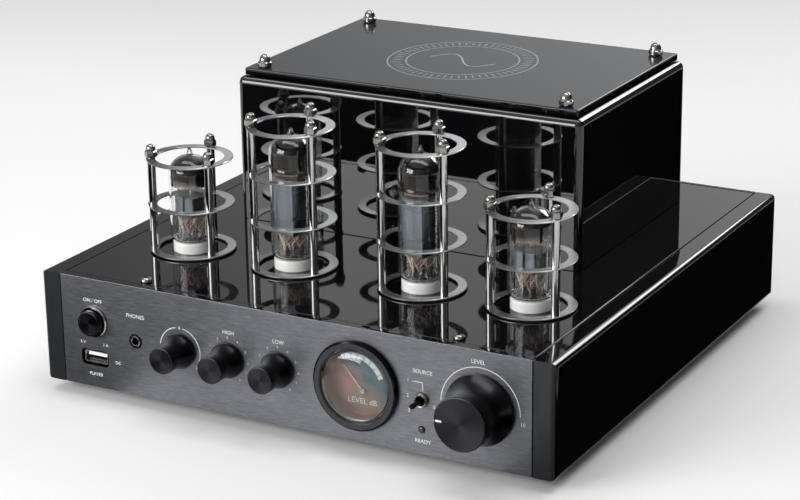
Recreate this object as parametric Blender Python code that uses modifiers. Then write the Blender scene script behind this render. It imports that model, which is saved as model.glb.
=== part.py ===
"""Integrated valve amplifier: a gloss black body with four guarded valves, a boxed transformer cover and
front controls.

Metres, +Z up, +X to the right as seen from the front, -Y towards the listener. The origin lies on the
ground under the middle of the whole object.
"""

import math

import bmesh
import bpy
from mathutils import Matrix, Vector

MM = 0.001
DEGREE = math.pi / 180

# Clearances and cutting
SEAT_GAP = 0.3 * MM  # between two pieces that seat on each other
KNOB_GAP = 0.5 * MM  # between a knob's back and the front panel
CUT_OVERRUN = 1.0 * MM  # how far a cutter passes the face that it opens
FUSE_OVERLAP = 0.2 * MM  # how far shapes that become one piece enter each other
MERGE_DISTANCE = 0.01 * MM

# Sides of round shapes, all multiples of four, so that a hole's flats lie over its pin's flats
LARGE_STEPS = 28
ROUND_STEPS = 20
RING_STEPS = 16
SMALL_STEPS = 12
ROD_STEPS = 8
PIN_STEPS = 4
EDGE_SEGMENTS = 2

# Body
BODY_WIDTH = 270.0 * MM
BODY_DEPTH = 265.0 * MM
BODY_HEIGHT = 54.6 * MM
CHEEK_THICKNESS = 11.0 * MM
CHEEK_EDGE_RADIUS = 3.0 * MM
FRONT_THICKNESS = 4.0 * MM
REAR_THICKNESS = 2.0 * MM
DECK_THICKNESS = 2.0 * MM
TRAY_SHEET = 1.5 * MM
TRAY_FLANGE = 9.0 * MM

# Feet
FOOT_HEIGHT = 6.0 * MM
FOOT_TOP_RADIUS = 9.0 * MM
FOOT_SOLE_RADIUS = 8.0 * MM
FOOT_STEM_RADIUS = 2.0 * MM
FOOT_STEM_RISE = 3.0 * MM  # above the tray's floor
FOOT_INSET_X = 30.0 * MM
FOOT_INSET_Y = 30.0 * MM

# Transformer cover, its lid and the lid's cap screws
COVER_CENTRE_X = 1.3 * MM
COVER_SETBACK = 110.4 * MM  # from the front panel's face
COVER_WIDTH = 187.0 * MM
COVER_DEPTH = 125.3 * MM
COVER_HEIGHT = 73.5 * MM
COVER_SHEET = 2.0 * MM
COVER_EDGE_RADIUS = 3.5 * MM
LID_INSET = 3.0 * MM
LID_GAP = 0.6 * MM
LID_THICKNESS = 3.4 * MM
LID_EDGE_RADIUS = 0.6 * MM
LID_SCREW_INSET_X = 8.5 * MM
LID_SCREW_INSET_Y = 7.0 * MM
LID_SCREW_FORWARD = 1.5 * MM  # of the lid's middle
LID_SCREW_FLANGE_RADIUS = 3.5 * MM
LID_SCREW_FLANGE_HEIGHT = 2.6 * MM
LID_SCREW_DOME_RADIUS = 2.9 * MM
LID_SCREW_DOME_HEIGHT = 3.6 * MM
LID_SCREW_STEM_RADIUS = 1.5 * MM
LID_SCREW_STEM_LENGTH = 9.0 * MM

# Transformers, as shares of the room under the cover
POWER_CORE_SHARES = (0.36, 0.4, 0.81)
POWER_WINDING_SHARES = (0.24, 0.54, 0.56)
OUTPUT_CORE_SHARES = (0.24, 0.28, 0.56)
OUTPUT_WINDING_SHARES = (0.16, 0.38, 0.39)
OUTPUT_PLACE_SHARE = 0.33  # from the power transformer's middle to each output transformer's

# Deck screws and the front panel's lugs that take them
DECK_SCREW_SHARES = (("left", -0.6475), ("right", 0.6831))  # of the front panel's half width
DECK_SCREW_SETBACK = 8.4 * MM
DECK_SCREW_HEAD_RADIUS = 2.8 * MM
DECK_SCREW_HEAD_HEIGHT = 2.2 * MM
DECK_SCREW_STEM_RADIUS = 1.5 * MM
DECK_SCREW_STEM_LENGTH = 6.0 * MM
LUG_WIDTH = 10.0 * MM
LUG_DEPTH = 9.0 * MM
LUG_HEIGHT = 6.0 * MM

# Valves: middles as shares of the deck's half width, and which of them are the tall output valves
VALVE_PLACE_SHARES = (-0.7057, -0.2425, 0.3129, 0.764)
VALVE_IS_TALL = (False, True, True, False)
VALVE_SETBACK = 59.2 * MM
SHORT_VALVE_HEIGHT = 45.7 * MM  # from the glass's foot to the tip of its pip
TALL_VALVE_HEIGHT = 63.2 * MM
VALVE_RADIUS = 10.65 * MM
VALVE_GLASS = 0.8 * MM
VALVE_DOME_HEIGHT = 8.5 * MM
VALVE_FOOT_ROUND = 1.6 * MM
VALVE_PIP_RADIUS = 1.5 * MM
VALVE_PIP_HEIGHT = 3.6 * MM
VALVE_BUTTON_HEIGHT = 2.2 * MM
PIN_CIRCLE_RADIUS = 5.95 * MM
PIN_RADIUS = 0.5 * MM
PIN_LENGTH = 5.0 * MM
PIN_COUNT = 9
PIN_POSITIONS = 10
MICA_THICKNESS = 0.6 * MM
LEAD_HEIGHT = 9.5 * MM  # from the glass button to the lower mica
SHORT_ANODE = (12.0 * MM, 8.0 * MM, 12.0 * MM)
TALL_ANODE = (13.0 * MM, 9.0 * MM, 27.0 * MM)
ANODE_EDGE_RADIUS = 2.5 * MM
SUPPORT_RADIUS = 0.6 * MM
SUPPORT_REACH = 7.6 * MM
CATHODE_RADIUS = 1.2 * MM
GETTER_RADIUS = 3.4 * MM
GETTER_RISE = 4.0 * MM  # above the upper mica
GETTER_THICKNESS = 1.0 * MM

# Valve sockets
SOCKET_RADIUS = 9.6 * MM
SOCKET_RISE = 5.0 * MM  # above the deck
SOCKET_DROP = 9.0 * MM  # below the deck, down to the main board
SOCKET_FLANGE_RADIUS = 12.0 * MM
SOCKET_FLANGE_THICKNESS = 1.5 * MM
SOCKET_GROOVE_MARGIN = 0.9 * MM  # around the pins
SOCKET_GROOVE_DEPTH = 6.0 * MM

# Valve guards: flat rings on three rods with cap nuts
GUARD_RING_OUTER_RADIUS = 20.9 * MM
GUARD_RING_BAND = 4.4 * MM
GUARD_RING_THICKNESS = 1.2 * MM
GUARD_RING_PITCH = 22.6 * MM
SHORT_GUARD_RINGS = 3
TALL_GUARD_RINGS = 4
GUARD_ROD_RADIUS = 2.0 * MM
GUARD_ROD_CIRCLE_RADIUS = 18.5 * MM
GUARD_ROD_COUNT = 3
GUARD_FIRST_ROD_ANGLE = 91.0 * DEGREE
GUARD_STUD_RADIUS = 1.5 * MM
GUARD_STUD_DROP = 3.0 * MM  # below the deck's underside
GUARD_NUT_RADIUS = 3.0 * MM
GUARD_NUT_HEIGHT = 3.2 * MM
GUARD_CAP_RADIUS = 2.4 * MM
GUARD_CAP_HEIGHT = 3.2 * MM

# Main board with its two filter capacitors
BOARD_THICKNESS = 1.6 * MM
BOARD_SETBACK = 34.0 * MM
BOARD_INSET = 10.7 * MM  # from the tray's sides
BOARD_DEPTH = 120.0 * MM
CAPACITOR_RADIUS = 11.0 * MM
CAPACITOR_LENGTH = 30.0 * MM
CAPACITOR_SPACING = 30.0 * MM
CAPACITOR_BOARD_SHARE = 0.75  # how far back along the board

# Front controls: the height of their common line over the body's underside, and middles as shares of the
# front panel's half width
CONTROL_LINE = 27.3 * MM
POWER_LIFT = 6.1 * MM
USB_DROP = 12.4 * MM
TOGGLE_DROP = 0.9 * MM
LED_DROP = 15.2 * MM
POWER_SHARE = -0.8521
JACK_SHARE = -0.6629
USB_SHARE = -0.8553
BALANCE_SHARE = -0.4608
TREBLE_SHARE = -0.2482
BASS_SHARE = -0.0315
METER_SHARE = 0.3007
TOGGLE_SHARE = 0.5667
LED_SHARE = 0.5651
VOLUME_SHARE = 0.7987

# Power switch and button
SWITCH_BEZEL_RADIUS = 7.65 * MM
SWITCH_BEZEL_HEIGHT = 1.2 * MM
SWITCH_BARREL_RADIUS = 7.0 * MM
SWITCH_BARREL_LENGTH = 20.0 * MM
SWITCH_BORE_DEPTH = 8.0 * MM
BUTTON_RADIUS = 6.2 * MM
BUTTON_CLEARANCE = 0.3 * MM
BUTTON_PROUD = 3.2 * MM  # beyond the bezel
BUTTON_SKIRT = 4.0 * MM  # inside the bezel
BUTTON_EDGE = 0.5 * MM

# Headphone jack
JACK_HOLE_RADIUS = 3.6 * MM
JACK_BUSH_RADIUS = 3.0 * MM
JACK_BUSH_PROUD = 0.5 * MM
JACK_BORE_RADIUS = 1.8 * MM
JACK_BODY = (11.0 * MM, 13.0 * MM, 10.0 * MM)

# USB socket on its small board
USB_CUTOUT = (15.6 * MM, 8.0 * MM)
USB_SHELL = (13.2 * MM, 5.9 * MM)
USB_WALL = 0.4 * MM
USB_LENGTH = 14.0 * MM
USB_RECESS = 1.0 * MM  # behind the panel's face
USB_TONGUE = (11.0 * MM, 1.8 * MM)
USB_TONGUE_SETBACK = 5.0 * MM
USB_TONGUE_LIFT = 1.0 * MM
USB_BACK_WALL = 1.5 * MM
USB_BOARD_WIDTH = 22.0 * MM
USB_BOARD_DEPTH = 24.0 * MM

# Knobs, their shafts and potentiometers
SHAFT_RADIUS = 3.0 * MM
SHAFT_CLEARANCE = 0.3 * MM
SHAFT_ENTRY = 6.0 * MM  # into the potentiometer's can
BUSH_RADIUS = 4.5 * MM
CAN_BACK = 2.0 * MM  # solid back behind the shaft's end
TONE_BASE_RADIUS = 8.5 * MM
TONE_FACE_RADIUS = 6.5 * MM
TONE_LENGTH = 15.5 * MM
TONE_CAN_RADIUS = 8.0 * MM
TONE_BOARD_MARGIN = 10.0 * MM
TONE_BOARD_HEIGHT = 20.0 * MM
VOLUME_BASE_RADIUS = 16.5 * MM
VOLUME_FACE_RADIUS = 12.6 * MM
VOLUME_LENGTH = 19.5 * MM
VOLUME_CAN_RADIUS = 12.0 * MM
KNOB_RIM = 1.6 * MM  # straight edge of a knob's base
KNOB_CHAMFER = 0.5 * MM
KNOB_STRAIGHT_SHARE = 0.35  # share of a knob's length before its flare starts
KNOB_FLARE_POINTS = 4

# Level meter
METER_BEZEL_RADIUS = 21.85 * MM
METER_BEZEL_HEIGHT = 2.6 * MM
METER_BEZEL_CHAMFER = 0.6 * MM
METER_WINDOW_RADIUS = 18.0 * MM
METER_CASE_RADIUS = 19.0 * MM
METER_CASE_WALL = 1.6 * MM
METER_CASE_DEPTH = 24.0 * MM
METER_RIM_DEPTH = 0.4 * MM  # from the panel's face back to the case's rim
LENS_THICKNESS = 1.2 * MM
LENS_CYLINDER = 2.2 * MM
LENS_DOME = 4.2 * MM
LENS_POINTS = 4
DIAL_DEPTH = 6.0 * MM  # behind the case's rim
DIAL_THICKNESS = 0.8 * MM
MOVEMENT_RADIUS = 7.0 * MM
NEEDLE_PIVOT_DROP = 5.0 * MM
NEEDLE_LENGTH = 15.0 * MM
NEEDLE_WIDTH = 0.7 * MM
NEEDLE_THICKNESS = 0.4 * MM
NEEDLE_LIFT = 1.0 * MM  # over the dial
NEEDLE_HUB_RADIUS = 1.9 * MM
NEEDLE_HUB_THICKNESS = 1.2 * MM
NEEDLE_SPINDLE_RADIUS = 0.8 * MM
NEEDLE_SPINDLE_ENTRY = 3.0 * MM
NEEDLE_REST_ANGLE = -40.0 * DEGREE  # from straight up, clockwise positive

# Input selector
TOGGLE_BUSH_RADIUS = 3.2 * MM
TOGGLE_BUSH_PROUD = 2.4 * MM
TOGGLE_BORE_RADIUS = 2.5 * MM
TOGGLE_BODY = (9.0 * MM, 12.0 * MM, 13.0 * MM)
TOGGLE_PIVOT_DEPTH = 2.8 * MM  # behind the panel's face
TOGGLE_BALL_RADIUS = 2.1 * MM
TOGGLE_NECK_RADIUS = 0.9 * MM
TOGGLE_TIP_RADIUS = 1.3 * MM
TOGGLE_REACH = 10.0 * MM  # lever beyond the panel's face

# Indicator lamp
LED_RADIUS = 1.5 * MM
LED_PROUD = 1.0 * MM
LED_BODY_LENGTH = 7.0 * MM
LED_FLANGE_RADIUS = 2.1 * MM
LED_FLANGE_THICKNESS = 1.0 * MM

# Rear connectors
REAR_LINE = 27.3 * MM
INLET_INSET = 25.7 * MM  # from the rear panel's end
INLET_FLANGE = (31.0 * MM, 24.0 * MM)
INLET_FLANGE_THICKNESS = 2.5 * MM
INLET_BODY = (27.0 * MM, 20.0 * MM)
INLET_LENGTH = 22.0 * MM
INLET_RECESS = (23.0 * MM, 16.0 * MM)
INLET_RECESS_DEPTH = 16.0 * MM
INLET_BLADE = (2.0 * MM, 5.0 * MM)
INLET_BLADE_SETBACK = 5.0 * MM
INLET_BLADE_SPACING = 7.0 * MM
INLET_EARTH_LIFT = 3.0 * MM
LINE_INSET = 35.7 * MM  # from the rear panel's end
LINE_PLATE = (42.0 * MM, 34.0 * MM)
LINE_BLOCK = (36.0 * MM, 28.0 * MM)
LINE_JACK_RADIUS = 4.2 * MM
LINE_JACK_LENGTH = 9.0 * MM
LINE_JACK_BORE_RADIUS = 1.7 * MM
LINE_JACK_SPACING = 16.0 * MM
SPEAKER_X = 2.0 * MM
SPEAKER_PLATE = (88.0 * MM, 30.0 * MM)
SPEAKER_BLOCK = (82.0 * MM, 22.0 * MM)
POST_RADIUS = 6.0 * MM
POST_NECK_RADIUS = 3.2 * MM
POST_NECK_LENGTH = 3.0 * MM
POST_LENGTH = 15.0 * MM
POST_BORE_RADIUS = 2.0 * MM
POST_BORE_DEPTH = 10.0 * MM
POST_SPACING = 20.0 * MM
POST_COUNT = 4
PLATE_THICKNESS = 2.0 * MM
BLOCK_DEPTH = 9.0 * MM

# Places that follow from the sizes above
FRONT_REACH = KNOB_GAP + VOLUME_LENGTH
REAR_REACH = SEAT_GAP + PLATE_THICKNESS + POST_LENGTH
FRONT_Y = FRONT_REACH - (FRONT_REACH + BODY_DEPTH + REAR_REACH) / 2
BACK_Y = FRONT_Y + BODY_DEPTH
BASE_Z = FOOT_HEIGHT
DECK_Z = BASE_Z + BODY_HEIGHT
DECK_UNDERSIDE_Z = DECK_Z - DECK_THICKNESS
HALF_WIDTH = BODY_WIDTH / 2
INNER_HALF_WIDTH = HALF_WIDTH - CHEEK_THICKNESS - SEAT_GAP
INNER_FRONT_Y = FRONT_Y + FRONT_THICKNESS + SEAT_GAP
INNER_BACK_Y = BACK_Y - REAR_THICKNESS - SEAT_GAP
TRAY_FLOOR_Z = BASE_Z + TRAY_SHEET
CONTROL_Z = BASE_Z + CONTROL_LINE
REAR_Z = BASE_Z + REAR_LINE
VALVE_Y = FRONT_Y + VALVE_SETBACK
COVER_FRONT_Y = FRONT_Y + COVER_SETBACK
COVER_MIDDLE_Y = COVER_FRONT_Y + COVER_DEPTH / 2
COVER_FOOT_Z = DECK_Z + SEAT_GAP
COVER_TOP_Z = DECK_Z + COVER_HEIGHT
LID_FOOT_Z = COVER_TOP_Z + LID_GAP
LID_TOP_Z = LID_FOOT_Z + LID_THICKNESS
GLASS_FOOT_Z = DECK_Z + SOCKET_RISE + SEAT_GAP
SOCKET_FOOT_Z = DECK_UNDERSIDE_Z - SOCKET_DROP
BOARD_TOP_Z = SOCKET_FOOT_Z - SEAT_GAP
DECK_SCREW_Y = FRONT_Y + DECK_SCREW_SETBACK
VALVE_PLACES_X = [share * INNER_HALF_WIDTH for share in VALVE_PLACE_SHARES]
POWER_X = POWER_SHARE * INNER_HALF_WIDTH
JACK_X = JACK_SHARE * INNER_HALF_WIDTH
USB_X = USB_SHARE * INNER_HALF_WIDTH
BALANCE_X = BALANCE_SHARE * INNER_HALF_WIDTH
TREBLE_X = TREBLE_SHARE * INNER_HALF_WIDTH
BASS_X = BASS_SHARE * INNER_HALF_WIDTH
METER_X = METER_SHARE * INNER_HALF_WIDTH
TOGGLE_X = TOGGLE_SHARE * INNER_HALF_WIDTH
LED_X = LED_SHARE * INNER_HALF_WIDTH
VOLUME_X = VOLUME_SHARE * INNER_HALF_WIDTH
INLET_X = INNER_HALF_WIDTH - INLET_INSET
LINE_X = LINE_INSET - INNER_HALF_WIDTH
BOARD_WIDTH = 2 * (INNER_HALF_WIDTH - BOARD_INSET)
UNDER_COVER = Vector(
    (COVER_WIDTH - 2 * COVER_SHEET, COVER_DEPTH - 2 * COVER_SHEET, COVER_HEIGHT - COVER_SHEET)
)

# Turns that point a shape's own +Z along a world direction
UPRIGHT = (0, 0, 0)
TOWARDS_FRONT = (90 * DEGREE, 0, 0)
TOWARDS_BACK = (-90 * DEGREE, 0, 0)


def clear_scene():
    for obj in list(bpy.data.objects):
        bpy.data.objects.remove(obj, do_unlink=True)


def new_collection(name):
    made = bpy.data.collections.new(name)
    bpy.context.scene.collection.children.link(made)
    return made


def finish(name, colour, roughness, metallic=0.0, alpha=1.0):
    """A Principled material."""
    made = bpy.data.materials.new(name)
    made.use_nodes = True
    shader = made.node_tree.nodes["Principled BSDF"]
    shader.inputs["Base Color"].default_value = (*colour, 1.0)
    shader.inputs["Roughness"].default_value = roughness
    shader.inputs["Metallic"].default_value = metallic
    shader.inputs["Alpha"].default_value = alpha
    made.diffuse_color = (*colour, alpha)
    return made


def place(name, mesh, material, where=(0, 0, 0), turn=UPRIGHT):
    """A named object of the amplifier that holds this mesh."""
    obj = bpy.data.objects.new(name, mesh)
    obj.location = where
    obj.rotation_euler = turn
    if material is not None and not mesh.materials:
        mesh.materials.append(material)
    parts.objects.link(obj)
    return obj


def smooth(mesh):
    mesh.shade_smooth()
    mesh.set_sharp_from_angle(angle=35 * DEGREE)


def block(name, low, high, material=None):
    """A box between two corners, with its origin at its middle."""
    size = Vector(high) - Vector(low)
    mesh = bpy.data.meshes.new(name)
    shape = bmesh.new()
    bmesh.ops.create_cube(shape, size=1, matrix=Matrix.Diagonal((*size, 1)))
    shape.to_mesh(mesh)
    shape.free()
    return place(name, mesh, material, (Vector(low) + Vector(high)) / 2)


def bar(name, radius, length, where, turn=UPRIGHT, steps=ROUND_STEPS, material=None):
    """A round bar that starts at a place and runs along its own +Z."""
    mesh = bpy.data.meshes.new(name)
    shape = bmesh.new()
    bmesh.ops.create_cone(
        shape,
        cap_ends=True,
        segments=steps,
        radius1=radius,
        radius2=radius,
        depth=length,
        matrix=Matrix.Translation((0, 0, length / 2)),
    )
    shape.to_mesh(mesh)
    shape.free()
    smooth(mesh)
    return place(name, mesh, material, where, turn)


def turned(name, profile, where, turn=UPRIGHT, steps=ROUND_STEPS, material=None, ring=False):
    """A shape turned about its own Z from (radius, height) points that run down its outer side.

    A ring's profile is a loop that never meets the axis.
    """
    mesh = bpy.data.meshes.new(name)
    shape = bmesh.new()
    points = [shape.verts.new((radius, 0, height)) for radius, height in profile]
    for first, second in zip(points, points[1:] + points[:1]):
        if ring or second is not points[0]:
            shape.edges.new((first, second))
    shape.to_mesh(mesh)
    shape.free()
    obj = place(name, mesh, material, where, turn)
    screw = obj.modifiers.new("Turn", "SCREW")
    screw.steps = steps
    screw.render_steps = steps
    screw.use_merge_vertices = True
    screw.merge_threshold = MERGE_DISTANCE
    screw.use_smooth_shade = True
    return obj


def round_edges(obj, radius, chosen=None, segments=EDGE_SEGMENTS):
    """Rounds every edge, or those whose two ends the test accepts."""
    bevel = obj.modifiers.new("Round", "BEVEL")
    bevel.width = radius
    bevel.segments = segments
    if chosen is None:
        return
    bevel.limit_method = "WEIGHT"
    weights = obj.data.attributes.new("bevel_weight_edge", "FLOAT", "EDGE")
    for edge in obj.data.edges:
        start, end = (obj.data.vertices[i].co for i in edge.vertices)
        weights.data[edge.index].value = float(chosen(start) and chosen(end))


def use_as_helper(obj):
    """Takes a shape that only cuts or joins another out of the model."""
    parts.objects.unlink(obj)
    cutters.objects.link(obj)
    obj.hide_render = True
    obj.display_type = "WIRE"


def combine(target, helpers, operation):
    for helper in helpers:
        use_as_helper(helper)
        modifier = target.modifiers.new(operation.title(), "BOOLEAN")
        modifier.operation = operation
        modifier.object = helper


def cut(target, *helpers):
    combine(target, helpers, "DIFFERENCE")


def fuse(target, *helpers):
    combine(target, helpers, "UNION")


def finished_mesh(obj, helpers):
    """The mesh of an object with its modifiers applied, and the object and its helpers removed."""
    graph = bpy.context.evaluated_depsgraph_get()
    mesh = bpy.data.meshes.new_from_object(obj.evaluated_get(graph))
    for used in (obj, *helpers):
        bpy.data.objects.remove(used, do_unlink=True)
    return mesh


def through_panel(name, radius, x, z, steps=ROUND_STEPS):
    """A cutter for a round hole through the front panel."""
    length = FRONT_THICKNESS + 2 * CUT_OVERRUN
    return bar(name, radius, length, (x, FRONT_Y + FRONT_THICKNESS + CUT_OVERRUN, z), TOWARDS_FRONT, steps)


def through_deck(name, radius, x, y, steps):
    """A cutter for a round hole through the deck."""
    length = DECK_THICKNESS + 2 * CUT_OVERRUN
    return bar(name, radius, length, (x, y, DECK_UNDERSIDE_Z - CUT_OVERRUN), steps=steps)


def corners(reach_x, reach_y):
    """The names and offsets of four places about a middle."""
    for row, along_y in (("front", -reach_y), ("rear", reach_y)):
        for side, along_x in (("left", -reach_x), ("right", reach_x)):
            yield f"{row}_{side}", along_x, along_y


def make_cheeks():
    for name, side in (("left_cheek", -1), ("right_cheek", 1)):
        inner = side * (HALF_WIDTH - CHEEK_THICKNESS)
        outer = side * HALF_WIDTH
        cheek = block(
            name,
            (min(inner, outer), FRONT_Y, BASE_Z),
            (max(inner, outer), BACK_Y, DECK_Z),
            gloss_black,
        )
        round_edges(cheek, CHEEK_EDGE_RADIUS, lambda point, side=side: point.x * side > 0)


def make_tray():
    """A sheet folded up at both sides and in again under the deck, with a hole for each foot's stem."""
    top = DECK_UNDERSIDE_Z - SEAT_GAP
    outline = (
        (-INNER_HALF_WIDTH + TRAY_FLANGE, top),
        (-INNER_HALF_WIDTH, top),
        (-INNER_HALF_WIDTH, BASE_Z),
        (INNER_HALF_WIDTH, BASE_Z),
        (INNER_HALF_WIDTH, top),
        (INNER_HALF_WIDTH - TRAY_FLANGE, top),
    )
    mesh = bpy.data.meshes.new("chassis_tray")
    shape = bmesh.new()
    points = [shape.verts.new((x, INNER_FRONT_Y, z)) for x, z in outline]
    edges = [shape.edges.new(pair) for pair in zip(points, points[1:])]
    swept = bmesh.ops.extrude_edge_only(shape, edges=edges)["geom"]
    moved = [item for item in swept if isinstance(item, bmesh.types.BMVert)]
    bmesh.ops.translate(shape, verts=moved, vec=(0, INNER_BACK_Y - INNER_FRONT_Y, 0))
    shape.to_mesh(mesh)
    shape.free()
    tray = place("chassis_tray", mesh, grey_steel)
    sheet = tray.modifiers.new("Sheet", "SOLIDIFY")
    sheet.thickness = TRAY_SHEET
    sheet.offset = -1
    sheet.use_even_offset = True
    for name, x, y in foot_places():
        hole = bar(
            f"hole_{name}",
            FOOT_STEM_RADIUS + SEAT_GAP,
            TRAY_SHEET + 2 * CUT_OVERRUN,
            (x, y, BASE_Z - CUT_OVERRUN),
            steps=SMALL_STEPS,
        )
        cut(tray, hole)


def foot_places():
    middle_y = (FRONT_Y + BACK_Y) / 2
    for name, along_x, along_y in corners(HALF_WIDTH - FOOT_INSET_X, BODY_DEPTH / 2 - FOOT_INSET_Y):
        yield f"foot_{name}", along_x, middle_y + along_y


def make_feet():
    top = BASE_Z - SEAT_GAP
    profile = (
        (0, TRAY_FLOOR_Z + FOOT_STEM_RISE),
        (FOOT_STEM_RADIUS, TRAY_FLOOR_Z + FOOT_STEM_RISE),
        (FOOT_STEM_RADIUS, top),
        (FOOT_TOP_RADIUS, top),
        (FOOT_SOLE_RADIUS, 0),
        (0, 0),
    )
    for name, x, y in foot_places():
        turned(name, profile, (x, y, 0), steps=SMALL_STEPS, material=black_rubber)


def deck_screw_places():
    for side, share in DECK_SCREW_SHARES:
        yield f"deck_screw_{side}", share * INNER_HALF_WIDTH


def guard_rod_places(x):
    for index in range(GUARD_ROD_COUNT):
        angle = GUARD_FIRST_ROD_ANGLE + index * 2 * math.pi / GUARD_ROD_COUNT
        yield (
            x + GUARD_ROD_CIRCLE_RADIUS * math.cos(angle),
            VALVE_Y + GUARD_ROD_CIRCLE_RADIUS * math.sin(angle),
        )


def make_deck():
    deck = block(
        "top_deck",
        (-INNER_HALF_WIDTH, INNER_FRONT_Y, DECK_UNDERSIDE_Z),
        (INNER_HALF_WIDTH, INNER_BACK_Y, DECK_Z),
        gloss_black,
    )
    for x in VALVE_PLACES_X:
        cut(deck, through_deck("socket_hole", SOCKET_RADIUS + SEAT_GAP, x, VALVE_Y, RING_STEPS))
        for rod_x, rod_y in guard_rod_places(x):
            cut(deck, through_deck("stud_hole", GUARD_STUD_RADIUS + SEAT_GAP, rod_x, rod_y, ROD_STEPS))
    for _, x in deck_screw_places():
        cut(deck, through_deck("screw_hole", DECK_SCREW_STEM_RADIUS + SEAT_GAP, x, DECK_SCREW_Y, ROD_STEPS))


def make_deck_screws():
    profile = (
        (0, DECK_SCREW_HEAD_HEIGHT),
        (DECK_SCREW_HEAD_RADIUS / 2, DECK_SCREW_HEAD_HEIGHT),
        (DECK_SCREW_HEAD_RADIUS, DECK_SCREW_HEAD_HEIGHT / 2),
        (DECK_SCREW_HEAD_RADIUS, 0),
        (DECK_SCREW_STEM_RADIUS, 0),
        (DECK_SCREW_STEM_RADIUS, -DECK_SCREW_STEM_LENGTH),
        (0, -DECK_SCREW_STEM_LENGTH),
    )
    for name, x in deck_screw_places():
        turned(name, profile, (x, DECK_SCREW_Y, DECK_Z + SEAT_GAP), steps=ROD_STEPS, material=chrome)


def make_front_panel():
    panel = block(
        "front_panel",
        (-INNER_HALF_WIDTH, FRONT_Y, BASE_Z),
        (INNER_HALF_WIDTH, FRONT_Y + FRONT_THICKNESS, DECK_Z),
        brushed_grey,
    )
    lug_top = DECK_UNDERSIDE_Z - SEAT_GAP
    for name, x in deck_screw_places():
        lug = block(
            f"lug_{name}",
            (x - LUG_WIDTH / 2, FRONT_Y + FRONT_THICKNESS - FUSE_OVERLAP, lug_top - LUG_HEIGHT),
            (x + LUG_WIDTH / 2, FRONT_Y + FRONT_THICKNESS + LUG_DEPTH, lug_top),
        )
        fuse(panel, lug)
        stem_foot = DECK_Z + SEAT_GAP - DECK_SCREW_STEM_LENGTH - CUT_OVERRUN
        tap = bar(
            f"tap_{name}",
            DECK_SCREW_STEM_RADIUS + SEAT_GAP,
            DECK_Z - stem_foot,
            (x, DECK_SCREW_Y, stem_foot),
            steps=ROD_STEPS,
        )
        cut(panel, tap)
    bush_hole = BUSH_RADIUS + SEAT_GAP
    round_holes = (
        ("power_hole", SWITCH_BARREL_RADIUS + SEAT_GAP, POWER_X, CONTROL_Z + POWER_LIFT, ROUND_STEPS),
        ("jack_hole", JACK_HOLE_RADIUS, JACK_X, CONTROL_Z, SMALL_STEPS),
        ("balance_hole", bush_hole, BALANCE_X, CONTROL_Z, SMALL_STEPS),
        ("treble_hole", bush_hole, TREBLE_X, CONTROL_Z, SMALL_STEPS),
        ("bass_hole", bush_hole, BASS_X, CONTROL_Z, SMALL_STEPS),
        ("volume_hole", bush_hole, VOLUME_X, CONTROL_Z, SMALL_STEPS),
        ("meter_hole", METER_CASE_RADIUS + SEAT_GAP, METER_X, CONTROL_Z, LARGE_STEPS),
        ("toggle_hole", TOGGLE_BUSH_RADIUS + SEAT_GAP, TOGGLE_X, CONTROL_Z - TOGGLE_DROP, SMALL_STEPS),
        ("led_hole", LED_RADIUS + SEAT_GAP, LED_X, CONTROL_Z - LED_DROP, ROD_STEPS),
    )
    for name, radius, x, z, steps in round_holes:
        cut(panel, through_panel(name, radius, x, z, steps))
    width, height = USB_CUTOUT
    usb_z = CONTROL_Z - USB_DROP
    window = block(
        "usb_cutout",
        (USB_X - width / 2, FRONT_Y - CUT_OVERRUN, usb_z - height / 2),
        (USB_X + width / 2, FRONT_Y + FRONT_THICKNESS + CUT_OVERRUN, usb_z + height / 2),
    )
    cut(panel, window)


def rear_window(name, x, size):
    """A cutter for a connector's rectangular hole through the rear panel."""
    reach_x = size[0] / 2 + SEAT_GAP
    reach_z = size[1] / 2 + SEAT_GAP
    return block(
        name,
        (x - reach_x, BACK_Y - REAR_THICKNESS - CUT_OVERRUN, REAR_Z - reach_z),
        (x + reach_x, BACK_Y + CUT_OVERRUN, REAR_Z + reach_z),
    )


def make_rear_panel():
    panel = block(
        "rear_panel",
        (-INNER_HALF_WIDTH, BACK_Y - REAR_THICKNESS, BASE_Z),
        (INNER_HALF_WIDTH, BACK_Y, DECK_Z),
        satin_black,
    )
    cut(panel, rear_window("inlet_window", INLET_X, INLET_BODY))
    cut(panel, rear_window("line_window", LINE_X, LINE_BLOCK))
    cut(panel, rear_window("speaker_window", SPEAKER_X, SPEAKER_BLOCK))


def connector(name, x, plate, plate_thickness, body, depth):
    """A plate on the rear panel's outside with a body that passes through its window."""
    outer = BACK_Y + SEAT_GAP
    piece = block(
        name,
        (x - plate[0] / 2, outer, REAR_Z - plate[1] / 2),
        (x + plate[0] / 2, outer + plate_thickness, REAR_Z + plate[1] / 2),
        black_plastic,
    )
    inside = block(
        f"{name}_body",
        (x - body[0] / 2, outer + FUSE_OVERLAP - depth, REAR_Z - body[1] / 2),
        (x + body[0] / 2, outer + FUSE_OVERLAP, REAR_Z + body[1] / 2),
    )
    fuse(piece, inside)
    return piece


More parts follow.
